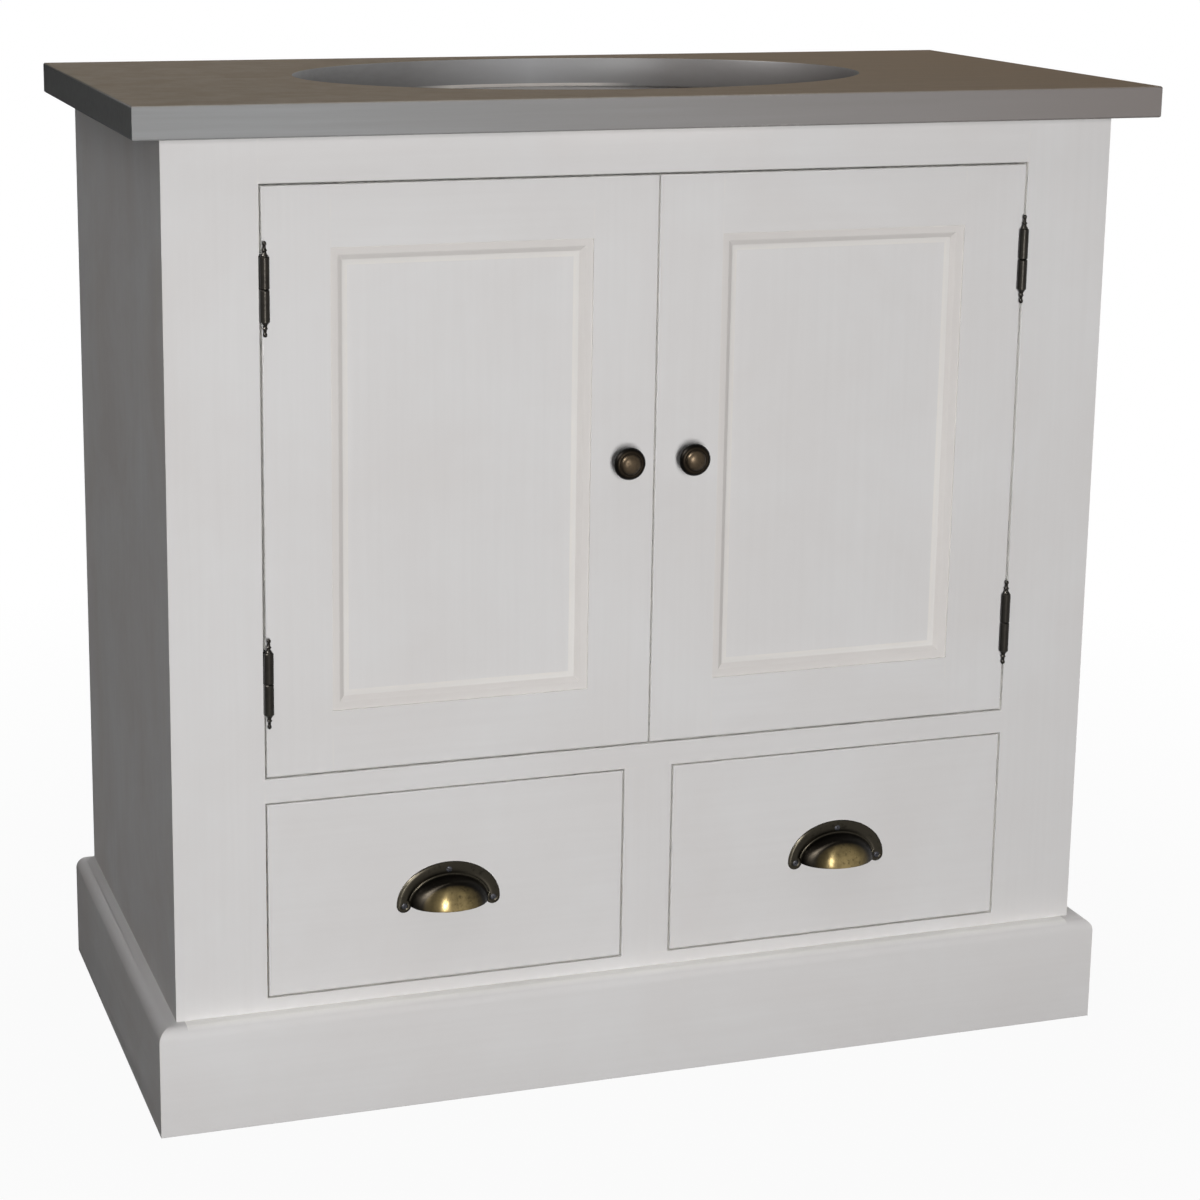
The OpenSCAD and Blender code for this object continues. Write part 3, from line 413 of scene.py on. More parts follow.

# %% [markdown]
# The worktop is a flat grey over timber. Its top is browner and mottled, where water and hands
# have been, and its edges are a cleaner grey. The surface's normal tells the two apart. The
# wall of the cut-out has a painted highlight: it is painted paler in the middle. It has one more
# coat of varnish, against splashes. At its foot a thin pale line is painted on, painted light
# that stands in for the lit rear rail beyond it. The arrises are scuffed, most of all right of the middle.

# %% Worktop finish
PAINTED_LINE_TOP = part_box("worktop")[0].z + 3.2 * mm
CUT_OUT_REACH = (0.3, 0.2)
SCUFFS_AT = 0.07


def worktop_greys(tree, streaks, mottle, spot, facing):
    """The edges' cleaner grey and the top's browner one, both duller towards the right."""
    to_right = span_of(tree, spot["X"], -0.35, 0.45)
    clean = blend_of(tree, streaks, screen(0.590, 0.592, 0.594), screen(0.565, 0.566, 0.566))
    edge = blend_of(tree, to_right, clean, screen(0.522, 0.498, 0.486))
    left = blend_of(tree, streaks, screen(0.655, 0.612, 0.558), screen(0.633, 0.590, 0.535))
    right = blend_of(tree, streaks, screen(0.586, 0.522, 0.452), screen(0.566, 0.502, 0.430))
    plain_top = blend_of(tree, to_right, left, right)
    top = blend_of(tree, times(tree, mottle, 0.4), plain_top, screen(0.572, 0.521, 0.460))
    return blend_of(tree, span_of(tree, facing["Z"], 0.55, 0.95), edge, top)


def cut_out_wall(tree, spot, facing):
    """1 on the wall of the cut-out, which is upright and lies well inside the edges."""
    wide = below(tree, how_far(tree, spot["X"]), CUT_OUT_REACH[0])
    deep = below(tree, how_far(tree, spot["Y"]), CUT_OUT_REACH[1])
    return times(tree, below(tree, facing["Z"], 0.5), times(tree, wide, deep))


def wall_colours(tree, colour, wall, spot):
    """Paints a highlight on the wall, paler towards its middle, and a pale line of painted light at its
    foot.
    """
    # Painted highlight: the middle of the cut-out's wall is painted paler.
    middle = span_of(tree, how_far(tree, spot["X"], 0.01), 0.13, 0.0)
    wall_with_painted_highlight = blend_of(tree, times(tree, wall, middle), colour, screen(0.745, 0.745, 0.75))
    # Painted light: a pale line at the wall's foot, for the lit rear rail beyond it.
    painted_light_span = span_of(tree, how_far(tree, spot["X"]), 0.11, 0.07)
    foot = times(tree, wall, times(tree, below(tree, spot["Z"], PAINTED_LINE_TOP), painted_light_span))
    return blend_of(tree, foot, wall_with_painted_highlight, screen(1.0, 0.975, 0.95))


def scuffs_of(tree, place, spot):
    """Rubbed specks on the arrises, most of all right of the middle."""
    rub = effect(tree, rubbed_edges, place, Width=2.2 * mm, Amount=1.0, Speckle=210.0)["Mask"]
    return times(tree, rub, span_of(tree, how_far(tree, spot["X"], SCUFFS_AT), 0.025, 0.060, 1.0, 0.16))


def worktop_finish():
    """Flat grey with a browner, mottled top, a varnished cut-out and scuffed arrises."""
    material, tree, shader, place = new_finish("worktop grey", 0.5, 0.0)
    marks = effect_along(tree, brush_marks, place, "across")
    spot, facing = split(tree, place), facing_of(tree)
    mottle = span_of(tree, clouds(tree, place, 42.0, 5.0, 0.62), 0.38, 0.62)
    wall = cut_out_wall(tree, spot, facing)
    colour = wall_colours(tree, worktop_greys(tree, marks["Streaks"], mottle, spot, facing), wall, spot)
    scuffed = blend_of(tree, scuffs_of(tree, place, spot), colour, screen(0.80, 0.79, 0.77))
    sheen = span_of(tree, marks["Streaks"], 0, 1, 0.42, 0.56)
    height = math_of(tree, "MULTIPLY_ADD", marks["Bristles"], 0.6, mottle)
    dress(tree, shader, scuffed, sheen, height, 0.45, 0.10 * mm)
    tree.links.new(times(tree, wall, 0.6), shader.inputs["Coat Weight"])
    shader.inputs["Coat Roughness"].default_value = 0.38
    return material


worktop_grey = worktop_finish()
print("Finish:", worktop_grey.name)

# %% [markdown]
# Bare timber shows where no brush went: the drawers' sides and backs, the guides and the blocks.
# Grain lines are the contour lines of one slow noise, squeezed along the board: a sine of the
# noise draws them. Fine fibres and slow patches of tone go over them.

# %% Shared effects: timber grain
timber_grain, given, gives = new_group(
    "Timber grain",
    [("Squeezed place", PLACE, None), ("Place", PLACE, None), ("Lines", NUMBER, 46.0)],
    [("Grain", NUMBER), ("Fibres", NUMBER), ("Patches", NUMBER)],
)
slow = clouds(timber_grain, given["Squeezed place"], 16.0, 2.0, 0.45, 0.3)
waves = math_of(timber_grain, "SINE", times(timber_grain, slow, given["Lines"]))
lines = span_of(timber_grain, waves, -0.2, 1.0)
fibres = clouds(timber_grain, given["Squeezed place"], 900.0, 3.0, 0.6)
patches = span_of(timber_grain, clouds(timber_grain, given["Place"], 9.0, 3.0), 0.35, 0.65)
timber_grain.links.new(math_of(timber_grain, "POWER", lines, 2.2), gives["Grain"])
timber_grain.links.new(fibres, gives["Fibres"])
timber_grain.links.new(patches, gives["Patches"])
print("Group:", timber_grain.name, [s.name for s in timber_grain.interface.items_tree])

# %% Bare pine
def bare_pine(name, way):
    """Planed pine with orange grain lines and pale wood between them."""
    material, tree, shader, place = new_finish(name, 0.62, 0.3)
    grain = effect_along(tree, timber_grain, place, way)
    pale = blend_of(tree, grain["Patches"], screen(0.885, 0.765, 0.575), screen(0.850, 0.710, 0.500))
    lined = blend_of(tree, times(tree, grain["Grain"], 0.7), pale, screen(0.735, 0.540, 0.320))
    dark_fibres = span_of(tree, grain["Fibres"], 0.45, 0.75, 0, 0.35)
    fine = blend_of(tree, dark_fibres, lined, screen(0.76, 0.60, 0.40))
    rub = effect(tree, rubbed_edges, place, Width=1.5 * mm, Amount=0.4)["Mask"]
    colour = blend_of(tree, rub, fine, screen(0.66, 0.50, 0.32))
    sheen = span_of(tree, grain["Fibres"], 0.3, 0.7, 0.52, 0.72)
    height = math_of(tree, "MULTIPLY_ADD", grain["Grain"], 0.4, grain["Fibres"])
    dress(tree, shader, colour, sheen, height, 0.5, 0.12 * mm)
    return material


pine = {way: bare_pine("bare pine " + way, way) for way in SQUEEZE}
print("Pine:", [m.name for m in pine.values()])

# %% [markdown]
# Plywood is thin sheets glued with their grain crossed. The faces show one wide, calm grain.
# The edges show the layers as stripes, which are a wave along the sheet's thickness. The
# normal tells the faces from the edges.

# %% Plywood
PLY = 1.5 * mm


def plywood(name, way, through):
    """Birch plywood whose thickness lies along the axis named by through."""
    material, tree, shader, place = new_finish(name, 0.58, 0.3)
    grain = effect_along(tree, timber_grain, place, way, Lines=24.0)
    pale = blend_of(tree, grain["Patches"], screen(0.850, 0.745, 0.590), screen(0.815, 0.700, 0.535))
    face = blend_of(tree, times(tree, grain["Grain"], 0.45), pale, screen(0.740, 0.600, 0.420))
    wave = math_of(tree, "SINE", times(tree, split(tree, place)[through], math.pi / PLY))
    stripe = span_of(tree, wave, -0.3, 0.3)
    layers = blend_of(tree, stripe, screen(0.60, 0.45, 0.29), screen(0.80, 0.68, 0.50))
    on_face = span_of(tree, how_far(tree, facing_of(tree)[through]), 0.4, 0.8)
    colour = blend_of(tree, on_face, layers, face)
    sheen = span_of(tree, grain["Fibres"], 0.3, 0.7, 0.5, 0.68)
    dress(tree, shader, colour, sheen, grain["Fibres"], 0.4, 0.08 * mm)
    return material


ply_back = plywood("plywood back", "across", "Y")
ply_bottom = plywood("plywood drawer bottom", "across", "Z")
print("Plywood:", ply_back.name, ply_bottom.name)

# %% [markdown]
# Antiqued brass is brass that was blackened and then polished where fingers reach. What stands
# proud is bright, and what lies low stays dark. On the pulls and knobs, how proud a point is
# equals its distance from the drawer's or door's face, and that needs no special map. The pulls'
# ends are painted dark, partly wear and partly a painted reflection of a dark room, so the pulls
# are brightest near their middle. They are polished from side to side, so their glints stretch
# upwards. The knobs' dark rims are partly a painted reflection too. Zinc is nearly the same all
# over: its range from low to proud is twice the unit's width.

# %% Shared effects: tarnish
tarnish, given, gives = new_group(
    "Tarnish",
    [("Place", PLACE, None), ("Low", NUMBER, None), ("Proud", NUMBER, None)],
    [("Rubbed", NUMBER), ("Spots", NUMBER), ("Scratches", NUMBER)],
)
height = span_of(tarnish, split(tarnish, given["Place"])["Y"], given["Low"], given["Proud"])
cloud = clouds(tarnish, given["Place"], 120.0, 4.0, 0.6)
rubbed = times(tarnish, height, span_of(tarnish, cloud, 0.30, 0.62, 0.55, 1.0))
grit = clouds(tarnish, given["Place"], 300.0, 3.0, 0.6)
stretched = add(tarnish, "ShaderNodeMapping", {"Vector": given["Place"], "Scale": (0.15, 1, 1)}).outputs[0]
tarnish.links.new(rubbed, gives["Rubbed"])
tarnish.links.new(span_of(tarnish, grit, 0.55, 0.72), gives["Spots"])
tarnish.links.new(clouds(tarnish, stretched, 1400.0, 2.0, 0.5), gives["Scratches"])
print("Group:", tarnish.name, [s.name for s in tarnish.interface.items_tree])

# %% Brass, bronze and steel
def out(distance):
    """The Y of a place this many millimetres in front of the drawers' and doors' face."""
    return FACE - distance * mm


def polish_and_painted_reflection(tree, place, rubbed, dark, middle):
    """The pulls' rub, held near their middle, and their dark colour, paler on the flange. Their dark ends
    are partly a painted reflection.
    """
    spot = split(tree, place)
    aside = how_far(tree, how_far(tree, spot["X"]), middle)
    # Painted reflection, with wear: the ends of the pulls stay dark, as a dark room would show in them.
    near = span_of(tree, aside, 10 * mm, 30 * mm, 1.0, 0.1)
    flange = math_of(tree, "GREATER_THAN", spot["Y"], out(3.2))
    return times(tree, rubbed, near), blend_of(tree, flange, dark, screen(0.20, 0.187, 0.16))


def metal(name, dark, bright, low, proud, rough, middle=None):
    """A metal, dark where it lies low and bright where it stands proud, or near a middle."""
    material, tree, shader, place = new_finish(name, rough[1], 0.5, 1.0)
    wear = effect(tree, tarnish, place, Low=low, Proud=proud)
    rubbed, unrubbed = wear["Rubbed"], screen(*dark)
    if middle is not None:
        rubbed, unrubbed = polish_and_painted_reflection(tree, place, rubbed, unrubbed, middle)
    base = blend_of(tree, rubbed, unrubbed, screen(*bright))
    colour = blend_of(tree, times(tree, wear["Spots"], 0.5), base, screen(*dark))
    rubbed_sheen = span_of(tree, rubbed, 0, 1, *rough)
    sheen = math_of(tree, "MULTIPLY_ADD", wear["Spots"], 0.12, rubbed_sheen)
    height = math_of(tree, "MULTIPLY_ADD", wear["Spots"], 0.6, wear["Scratches"])
    dress(tree, shader, colour, sheen, height, 0.3, 0.04 * mm)
    return material


# Each row gives the dark and the bright colour, where the metal counts as low and as proud, and
# the roughness of both.
METALS = {
    # The knob's range keeps its ring and rim dark: partly patina, partly a painted reflection of a dark
    # room.
    "antiqued brass knob": ((0.040, 0.034, 0.029), (0.32, 0.275, 0.22), out(21.6), out(26.2), (0.40, 0.34)),
    # The pull screws are painted paler than the brass around them: a painted glint.
    "antiqued brass screw": ((0.11, 0.11, 0.11), (0.30, 0.30, 0.32), out(1.0), out(3.5), (0.44, 0.38)),
    "hinge bronze": ((0.095, 0.092, 0.088), (0.19, 0.18, 0.165), out(3.5), out(9.0), (0.36, 0.28)),
    "zinc steel": ((0.58, 0.58, 0.60), (0.70, 0.70, 0.72), 0.9, -0.9, (0.38, 0.30)),
}
low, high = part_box("right_drawer_pull")
middle = (low.x + high.x) / 2
pull_colours = ((0.070, 0.062, 0.050), (0.55, 0.485, 0.335))
pull_brass = metal("antiqued brass pull", *pull_colours, out(15.5), out(26.0), (0.34, 0.28), middle)
shader = pull_brass.node_tree.nodes["Principled BSDF"]
shader.inputs["Anisotropic"].default_value = 0.85
shader.inputs["Anisotropic Rotation"].default_value = 0.25
knob_brass, screw_brass_painted_glint, hinge_bronze, zinc_steel = (metal(name, *looks) for name, looks in METALS.items())
print("Metals:", pull_brass.name, knob_brass.name, screw_brass_painted_glint.name, hinge_bronze.name, zinc_steel.name)

# %% [markdown]
# The catch is a small case of brown plastic. Moulded plastic has a fine spark texture, so one
# fine noise moves its colour, its sheen and its bump together.

# %% Catch plastic
def catch_plastic():
    """Brown moulded plastic with a fine spark texture."""
    material, tree, shader, place = new_finish("brown catch plastic", 0.45, 0.5)
    speck = clouds(tree, place, 1500.0, 2.0, 0.5)
    colour = blend_of(tree, speck, screen(0.33, 0.22, 0.145), screen(0.39, 0.275, 0.19))
    dress(tree, shader, colour, span_of(tree, speck, 0.3, 0.7, 0.38, 0.5), speck, 0.4, 0.05 * mm)
    return material


brown_plastic = catch_plastic()
print("Finish:", brown_plastic.name)

# %% [markdown]
# Real boards have no razor edges: planing and paint round every arris that shows. The packed
# meshes stay as they are, so each board gets a merged copy whose free edges are bevelled. Where
# two boards meet flush, paint has filled the joint, so an edge that touches a neighbour is left.
# One tree of all the model's triangles answers how near the next board is.

# %% Which edges are free
corners = []
triangles = []
owners = []
for node_name, shape in frame["nodes"].items():
    start = len(corners)
    corners.extend(v.co[:] for v in shape.data.vertices)
    for face in shape.data.polygons:
        triangles.append([start + i for i in face.vertices])
        owners.append(node_name)
all_surfaces = BVHTree.FromPolygons(corners, triangles)


def touches_neighbour(point, node_name, reach=0.25 * mm):
    """True if another node's surface lies within reach of the point."""
    near = all_surfaces.find_nearest_range(point, reach)
    return any(owners[index] != node_name for _, _, index, _ in near)


SHARES_ALONG = (0.04, 0.27, 0.5, 0.73, 0.96)


def is_free(edge, node_name, inset=1.5 * mm):
    """True if both faces beside the edge are clear of other boards, all along it."""
    first, second = (v.co for v in edge.verts)
    along = (second - first).normalized()
    for face in edge.link_faces:
        inward = face.normal.cross(along).normalized()
        if (face.calc_center_median() - first).dot(inward) < 0:
            inward.negate()
        for share in SHARES_ALONG:
            if touches_neighbour(first.lerp(second, share) + inward * inset, node_name):
                return False
    return True


print("Surfaces to look at:", len(triangles))

# %% [markdown]
# The copy is merged, its flat faces are joined up again, and its round faces are marked smooth.
# Bevelled strips are smooth too, while the wide flats stay flat, so no shading creeps across
# them. Many coats of paint have thickened the outer edges of doors and drawer fronts, which
# makes the gaps look finer. The change of volume is printed: a board that lost much would have
# folded.

# %% Softened copies
DOORS = ["left_door", "right_door"]
DRAWERS = ["left_drawer", "right_drawer"]
PAINT_FILM = 0.35 * mm
leaf_of = {drawer + "_front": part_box(drawer + "_front") for drawer in DRAWERS}
for door in DOORS:
    parts = [door + part for part in ("_hinge_stile", "_meeting_stile", "_top_rail", "_bottom_rail")]
    boxes = [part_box(part) for part in parts]
    low = Vector([min(box[0][k] for box in boxes) for k in range(3)])
    high = Vector([max(box[1][k] for box in boxes) for k in range(3)])
    leaf_of.update({part: (low, high) for part in parts})
print("Leaves with thicker edges:", len(leaf_of), "boards")

# %% Merging, and handing over a piece
SAME_POINT = 0.002 * mm
FLAT_WITHIN = math.radians(0.4)
ROUND_FROM, ROUND_TO = math.radians(0.5), math.radians(28)


def is_round(face):
    """True for a face of a curved surface: it meets a neighbour at a small angle."""
    angles = [e.calc_face_angle(0.0) for e in face.edges if len(e.link_faces) == 2]
    return any(ROUND_FROM < angle < ROUND_TO for angle in angles)


def finish_piece(bm, name, body, materials, stands_for, smooth_angle=None):
    """Makes the mesh an object at the origin, hangs it on its body and hides the nodes it stands for."""
    mesh = bpy.data.meshes.new(name)
    bm.to_mesh(mesh)
    bm.free()
    if smooth_angle is not None:
        mesh.shade_smooth()
        mesh.set_sharp_from_angle(angle=math.radians(smooth_angle))
    piece = new_object(name, mesh)
    for material in materials:
        mesh.materials.append(material)
    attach(piece, body)
    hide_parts(*stands_for)
    return piece


def closed_mesh(node_name):
    """The node's loose triangles, merged into closed solids."""
    bm = bmesh.new()
    bm.from_mesh(frame["nodes"][node_name].data)
    bmesh.ops.remove_doubles(bm, verts=bm.verts, dist=SAME_POINT)
    return bm


def merged(node_name):
    """The node's closed mesh with its flat faces joined up."""
    bm = closed_mesh(node_name)
    bmesh.ops.dissolve_limit(bm, angle_limit=FLAT_WITHIN, verts=bm.verts, edges=bm.edges)
    bm.normal_update()
    return bm

# %% Rounding the free arrises
ON_EDGE = 0.01 * mm
LEAST_ARRIS = 6 * mm
SHARP_FROM = math.radians(30)


def thicken_edges(bm, box, film):
    """Moves the points on a leaf's four outer edges outwards by a film of paint."""
    for k in (0, 2):
        for vert in bm.verts:
            if abs(vert.co[k] - box[0][k]) < ON_EDGE:
                vert.co[k] -= film
            elif abs(vert.co[k] - box[1][k]) < ON_EDGE:
                vert.co[k] += film


def soften(node_name, material, width):
    """Makes a copy of a board with its free arrises rounded to a width."""
    bm = merged(node_name)
    if node_name in leaf_of:
        thicken_edges(bm, leaf_of[node_name], PAINT_FILM)
    before = bm.calc_volume()
    for face in bm.faces:
        face.smooth = is_round(face)
    sharp = [
        e for e in bm.edges
        if len(e.link_faces) == 2 and e.is_convex and e.calc_length() > LEAST_ARRIS
        and e.calc_face_angle(0.0) > SHARP_FROM and is_free(e, node_name)
    ]
    made = bmesh.ops.bevel(
        bm, geom=sharp, offset=width, segments=3, profile=0.5, affect="EDGES", clamp_overlap=True
    )
    for face in made["faces"]:
        face.smooth = True
    print(f"{node_name}: {len(sharp)} arrises rounded, volume {bm.calc_volume() / before - 1:+.4%}")
    finish_piece(bm, node_name + "_finished", body_of_node[node_name], [material], [node_name])


def soften_all(table, finishes, width):
    """Softens several boards. The table maps the way that wood runs to the nodes' names."""
    for way, names in table.items():
        for node_name in names:
            soften(node_name, finishes[way], width)

# %% [markdown]
# Boards are listed by the way their wood runs: stiles and panels stand upright, rails lie
# across, and the plinth's side boards run deep.

# %% Painted boards
painted = {
    "upright": [
        "left_side_panel", "right_side_panel", "left_frame_stile", "right_frame_stile", "drawer_mullion",
        *[d + part for d in DOORS for part in ("_hinge_stile", "_meeting_stile", "_panel")],
    ],
    "across": [
        "rear_top_rail", "cupboard_floor", "base_board", "top_frame_rail", "middle_frame_rail",
        "bottom_frame_rail", "plinth_front",
        *[d + part for d in DOORS for part in ("_top_rail", "_bottom_rail")],
        *[d + "_front" for d in DRAWERS],
    ],
    "deep": ["drawer_divider", "plinth_left", "plinth_right"],
}
soften_all(painted, paint, 0.9 * mm)

# %% Worktop, bare timber and plywood
soften_all({"across": ["worktop"]}, {"across": worktop_grey}, 0.4 * mm)
bare = {
    "across": ["plinth_blocks", "drawer_stops", *[d + "_back" for d in DRAWERS]],
    "deep": [
        "top_cleats", "drawer_guides",
        *[d + side for d in DRAWERS for side in ("_left_side", "_right_side")],
    ],
}
soften_all(bare, pine, 0.5 * mm)
soften_all({"across": ["back_panel"]}, {"across": ply_back}, 0.3 * mm)
soften_all({"across": [d + "_bottom" for d in DRAWERS]}, {"across": ply_bottom}, 0.3 * mm)

# %% [markdown]
# Each door panel is framed by a mitred moulding: a band that leans in, an easy slope and a thin
# toe that dies out on the panel. It could be four lengths, but paint has closed the mitres, so
# one ring is truer. Every point of the section gives a rectangle, smaller the further it lies
# from the frame. Its band and slope are painted a little more beige than the boards. Its toe is
# painted a paler cream: painted light, bounced off the moulding onto the panel.

# %% Panel mouldings
MOULDING_DROP = 6.2
LIT_CREAM_FROM = 10.5 * mm


def mould_section(height):
    """Distance in from the door's frame, and height above the panel."""
    drops = [
        (0.35, 0.0), (0.9, 0.08), (3.0, 0.6), (4.6, 1.05), (5.4, 1.2), (6.1, 1.4), (6.7, 1.75), (7.4, 2.25),
        (8.4, 3.0), (9.4, 3.8), (10.2, 4.4), (10.9, 4.85), (11.7, 5.2), (12.8, 5.6), (14.2, 5.95),
    ]
    slope = [(s * mm, height - drop * height / MOULDING_DROP) for s, drop in drops]
    return [(0.05 * mm, 0.0), (0.05 * mm, height - 0.3 * mm)] + slope + [(15.5 * mm, 0.0)]


def moulding(door):
    """One mitred ring round the door's panel. Its upright lengths take the upright paint."""
    low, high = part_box(door + "_moulding")
    section = mould_section(high.y - low.y)
    bm = bmesh.new()
    rings = []
    for s, h in section:
        x0, x1, z0, z1 = low.x + s, high.x - s, low.z + s, high.z - s
        spots = ((x0, z0), (x1, z0), (x1, z1), (x0, z1))
        rings.append([bm.verts.new((x, high.y - h, z)) for x, z in spots])
    for i, ring in enumerate(rings):
        following = rings[(i + 1) % len(rings)]
        for k in range(4):
            n = (k + 1) % 4
            face = bm.faces.new((ring[k], ring[n], following[n], following[k]))
            # The toe takes the paler cream, which is painted light; the band and slope take the beige paint.
            strip = 0 if section[i][0] < LIT_CREAM_FROM else 2
            face.material_index = strip + k % 2
    bmesh.ops.recalc_face_normals(bm, faces=bm.faces)
    finishes = [table[way] for table in (beige, painted_light_cream) for way in ("across", "upright")]
    node_name = door + "_moulding"
    return finish_piece(bm, node_name + "_ring", door, finishes, [node_name], 35)


for door in DOORS:
    made = moulding(door)
    print(made.name, len(made.data.polygons), "faces")

# %% [markdown]
# Knobs, hinge pins and the round feet of the pulls come off a lathe. An outline of radii and
# heights is turned round any axis, and a radius of nothing closes the end in one point.

# %% Lathe
def turn(bm, outline, foot, axis, steps):
    """Adds a turned shape: outline is (radius, height) from end to end, along axis from foot."""
    turned = Vector(axis).to_track_quat("Z", "Y")
    rings = []
    for radius, height in outline:
        count = 1 if radius < 1e-7 else steps
        angles = [2 * math.pi * i / count for i in range(count)]
        spots = [Vector((radius * math.cos(a), radius * math.sin(a), height)) for a in angles]
        rings.append([bm.verts.new(Vector(foot) + turned @ spot) for spot in spots])
    for low_ring, high_ring in zip(rings, rings[1:]):
        for i in range(steps):
            quad = [low_ring[i % len(low_ring)], low_ring[(i + 1) % len(low_ring)]]
            quad += [high_ring[(i + 1) % len(high_ring)], high_ring[i % len(high_ring)]]
            bm.faces.new(list(dict.fromkeys(quad)))


def bow(centre, radii, start, end, count):
    """Points on part of an ellipse in the lathe's outline, angles in degrees."""
    angles = [math.radians(start + (end - start) * i / count) for i in range(count + 1)]
    return [(centre[0] + radii[0] * math.cos(a), centre[1] + radii[1] * math.sin(a)) for a in angles]


def scaled(outline):
    """An outline in millimetres, as metres."""
    return [(max(0.0, r) * mm, h * mm) for r, h in outline]


quarter = bow((0, 0), (1, 1), 0, 90, 2)
print("A quarter round in two steps:", [(round(x, 2), round(y, 2)) for x, y in quarter])

# %% [markdown]
# A knob has a round foot, a slim neck, a swelling head, a ring and a dome inside the ring. The
# groove between ring and dome is where the blackening stays.

# %% Knobs
KNOB = scaled([
    (0, 0), (6.0, 0), *bow((6.0, 0.4), (0.4, 0.4), -90, 90, 4), (6.1, 0.95),
    *bow((6.4, 3.0), (1.8, 1.8), 270, 180, 8), *bow((4.6, 18.2), (9.4, 7), 270, 358, 14),
    *bow((9.8, 18.2), (4.2, 4.2), 0, 84, 10), (9.9, 22.3), (9.55, 22.2), (9.2, 22.25), (8.9, 22.4),
    *bow((0, 21.85), (8.95, 4.15), 10, 90, 14)[:-1], (0, 26),
])
for door in DOORS:
    low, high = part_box(door + "_knob")
    bm = bmesh.new()
    middle = (low + high) / 2
    turn(bm, KNOB, (middle.x, high.y, middle.z), (0, -1, 0), 64)
    bmesh.ops.recalc_face_normals(bm, faces=bm.faces)
    made = finish_piece(bm, door + "_knob_turned", door, [knob_brass], [door + "_knob"], 50)
    print(made.name, [round(x * 1000, 1) for x in made.dimensions])

# %% [markdown]
# The hinges are steeple hinges: two knuckles on a pin, with a turned finial at each end. The
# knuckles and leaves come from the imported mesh, merged so that the barrels shade round. The pins
# are turned anew, with a collar and a bead that the photograph shows at both ends.

# %% Hinge leaves
def smooth_copy(node_name, material):
    """Makes a merged copy of a small metal part, smooth round its curves."""
    name = node_name + "_smooth"
    finish_piece(merged(node_name), name, body_of_node[node_name], [material], [node_name], 28)


def islands(node_name):
    """The separate solids of a node, each as a list of its corners."""
    bm = closed_mesh(node_name)
    seen = set()
    found = []
    for start in bm.verts:
        if start in seen:
            continue
        seen.add(start)
        group = [start]
        for vert in group:
            for other in [edge.other_vert(vert) for edge in vert.link_edges]:
                if other not in seen:
                    seen.add(other)
                    group.append(other)
        found.append([v.co.copy() for v in group])
    bm.free()
    return found


for node_name in ("frame_hinge_leaves", "left_door_hinge_leaves", "right_door_hinge_leaves"):
    smooth_copy(node_name, hinge_bronze)
print("Hinge leaves smoothed")

# %% Hinge pins
FINIAL_H = 12
PIN_R = 2
FINIAL = [
    (2.9, 0), (2.9, 0.5), (2.5, 1.1), (1.9, 2.0), (1.55, 3.2), (1.7, 3.8), (2.1, 4.2), (2.25, 4.6),
    (2.1, 5.0), (1.6, 5.5), (1.3, 6.1), (1.25, 7.6), *bow((0, 9.9), (1.75, 2.1), -50, 90, 12)[:-1],
    (0, FINIAL_H),
]
bm = bmesh.new()
pins = islands("hinge_pins")
for solid in pins:
    xs, ys, zs = zip(*solid)
    x, y = (min(xs) + max(xs)) / 2, (min(ys) + max(ys)) / 2
    top = (max(zs) - min(zs)) / mm - FINIAL_H
    lower = [(r, FINIAL_H - h) for r, h in reversed(FINIAL)]
    upper = [(r, top + h) for r, h in FINIAL]
    outline = scaled(lower + [(PIN_R, FINIAL_H), (PIN_R, top)] + upper)
    turn(bm, outline, (x, y, min(zs)), (0, 0, 1), 32)
bmesh.ops.recalc_face_normals(bm, faces=bm.faces)
made = finish_piece(bm, "hinge_pins_turned", "cabinet", [hinge_bronze], ["hinge_pins"], 50)
print(made.name, len(pins), "pins,", len(made.data.polygons), "faces")

# %% [markdown]
# A cup pull is a quarter of an egg with a flange round it. Each row runs from corner to corner,
# the first on the drawer and the last at the lip, so the lines gather at the hidden corners and
# not on the lip. The inner wall is the same egg, a wall's thickness smaller, and the lip between
# them is round.

# %% Cup pull sizes
WALL = 1.6
CUP = (35.1, 26.0, 24.6)
PULL_A, PULL_B = 46.5, 36.0
FOOT_ASIDE = 40
FLANGE = [
    (0, 0), (0, 1.0), (0.3, 1.6), (1.0, 2.05), (2.2, 2.35), (4.0, 2.5), (5.8, 2.5), (7.6, 2.35), (8.9, 2.05),
    (9.8, 1.6), (10.3, 1.3), (10.8, 1.25), (11.2, 1.5), (11.5, 1.8), (12.2, 1.8), (12.2, 0),
]
FOOT = [(0, 0), (6.5, 0), (6.5, 1.0), (6.2, 1.6), (5.5, 2.05), (4.4, 2.35), (3.3, 2.2), (1.6, 0.8), (0, 0.8)]
AROUND, CUP_ROWS, LIP_ROWS = 72, 24, 6
print("Cup pull:", 2 * PULL_A, "mm wide, wall", WALL, "mm")

# %% Rows of the cup
def bridge(bm, rings, closed):
    """Faces between each ring and the next, and from the last to the first where closed."""
    pairs = list(zip(rings, rings[1:] + rings[:1]))
    for ring, following in pairs if closed else pairs[:-1]:
        for i in range(len(ring) - 1):
            bm.faces.new((ring[i], ring[i + 1], following[i + 1], following[i]))


def egg_row(bm, centre, size, tilt, angles):
    """A row of the egg at a tilt: 0 is the lip, 90 degrees lies on the drawer."""
    a, b, c = size
    row = []
    for u in angles:
        spot = (a * math.cos(u), -b * math.sin(u) * math.cos(tilt), c * math.sin(u) * math.sin(tilt))
        row.append(bm.verts.new(centre + Vector(spot) * mm))
    return row


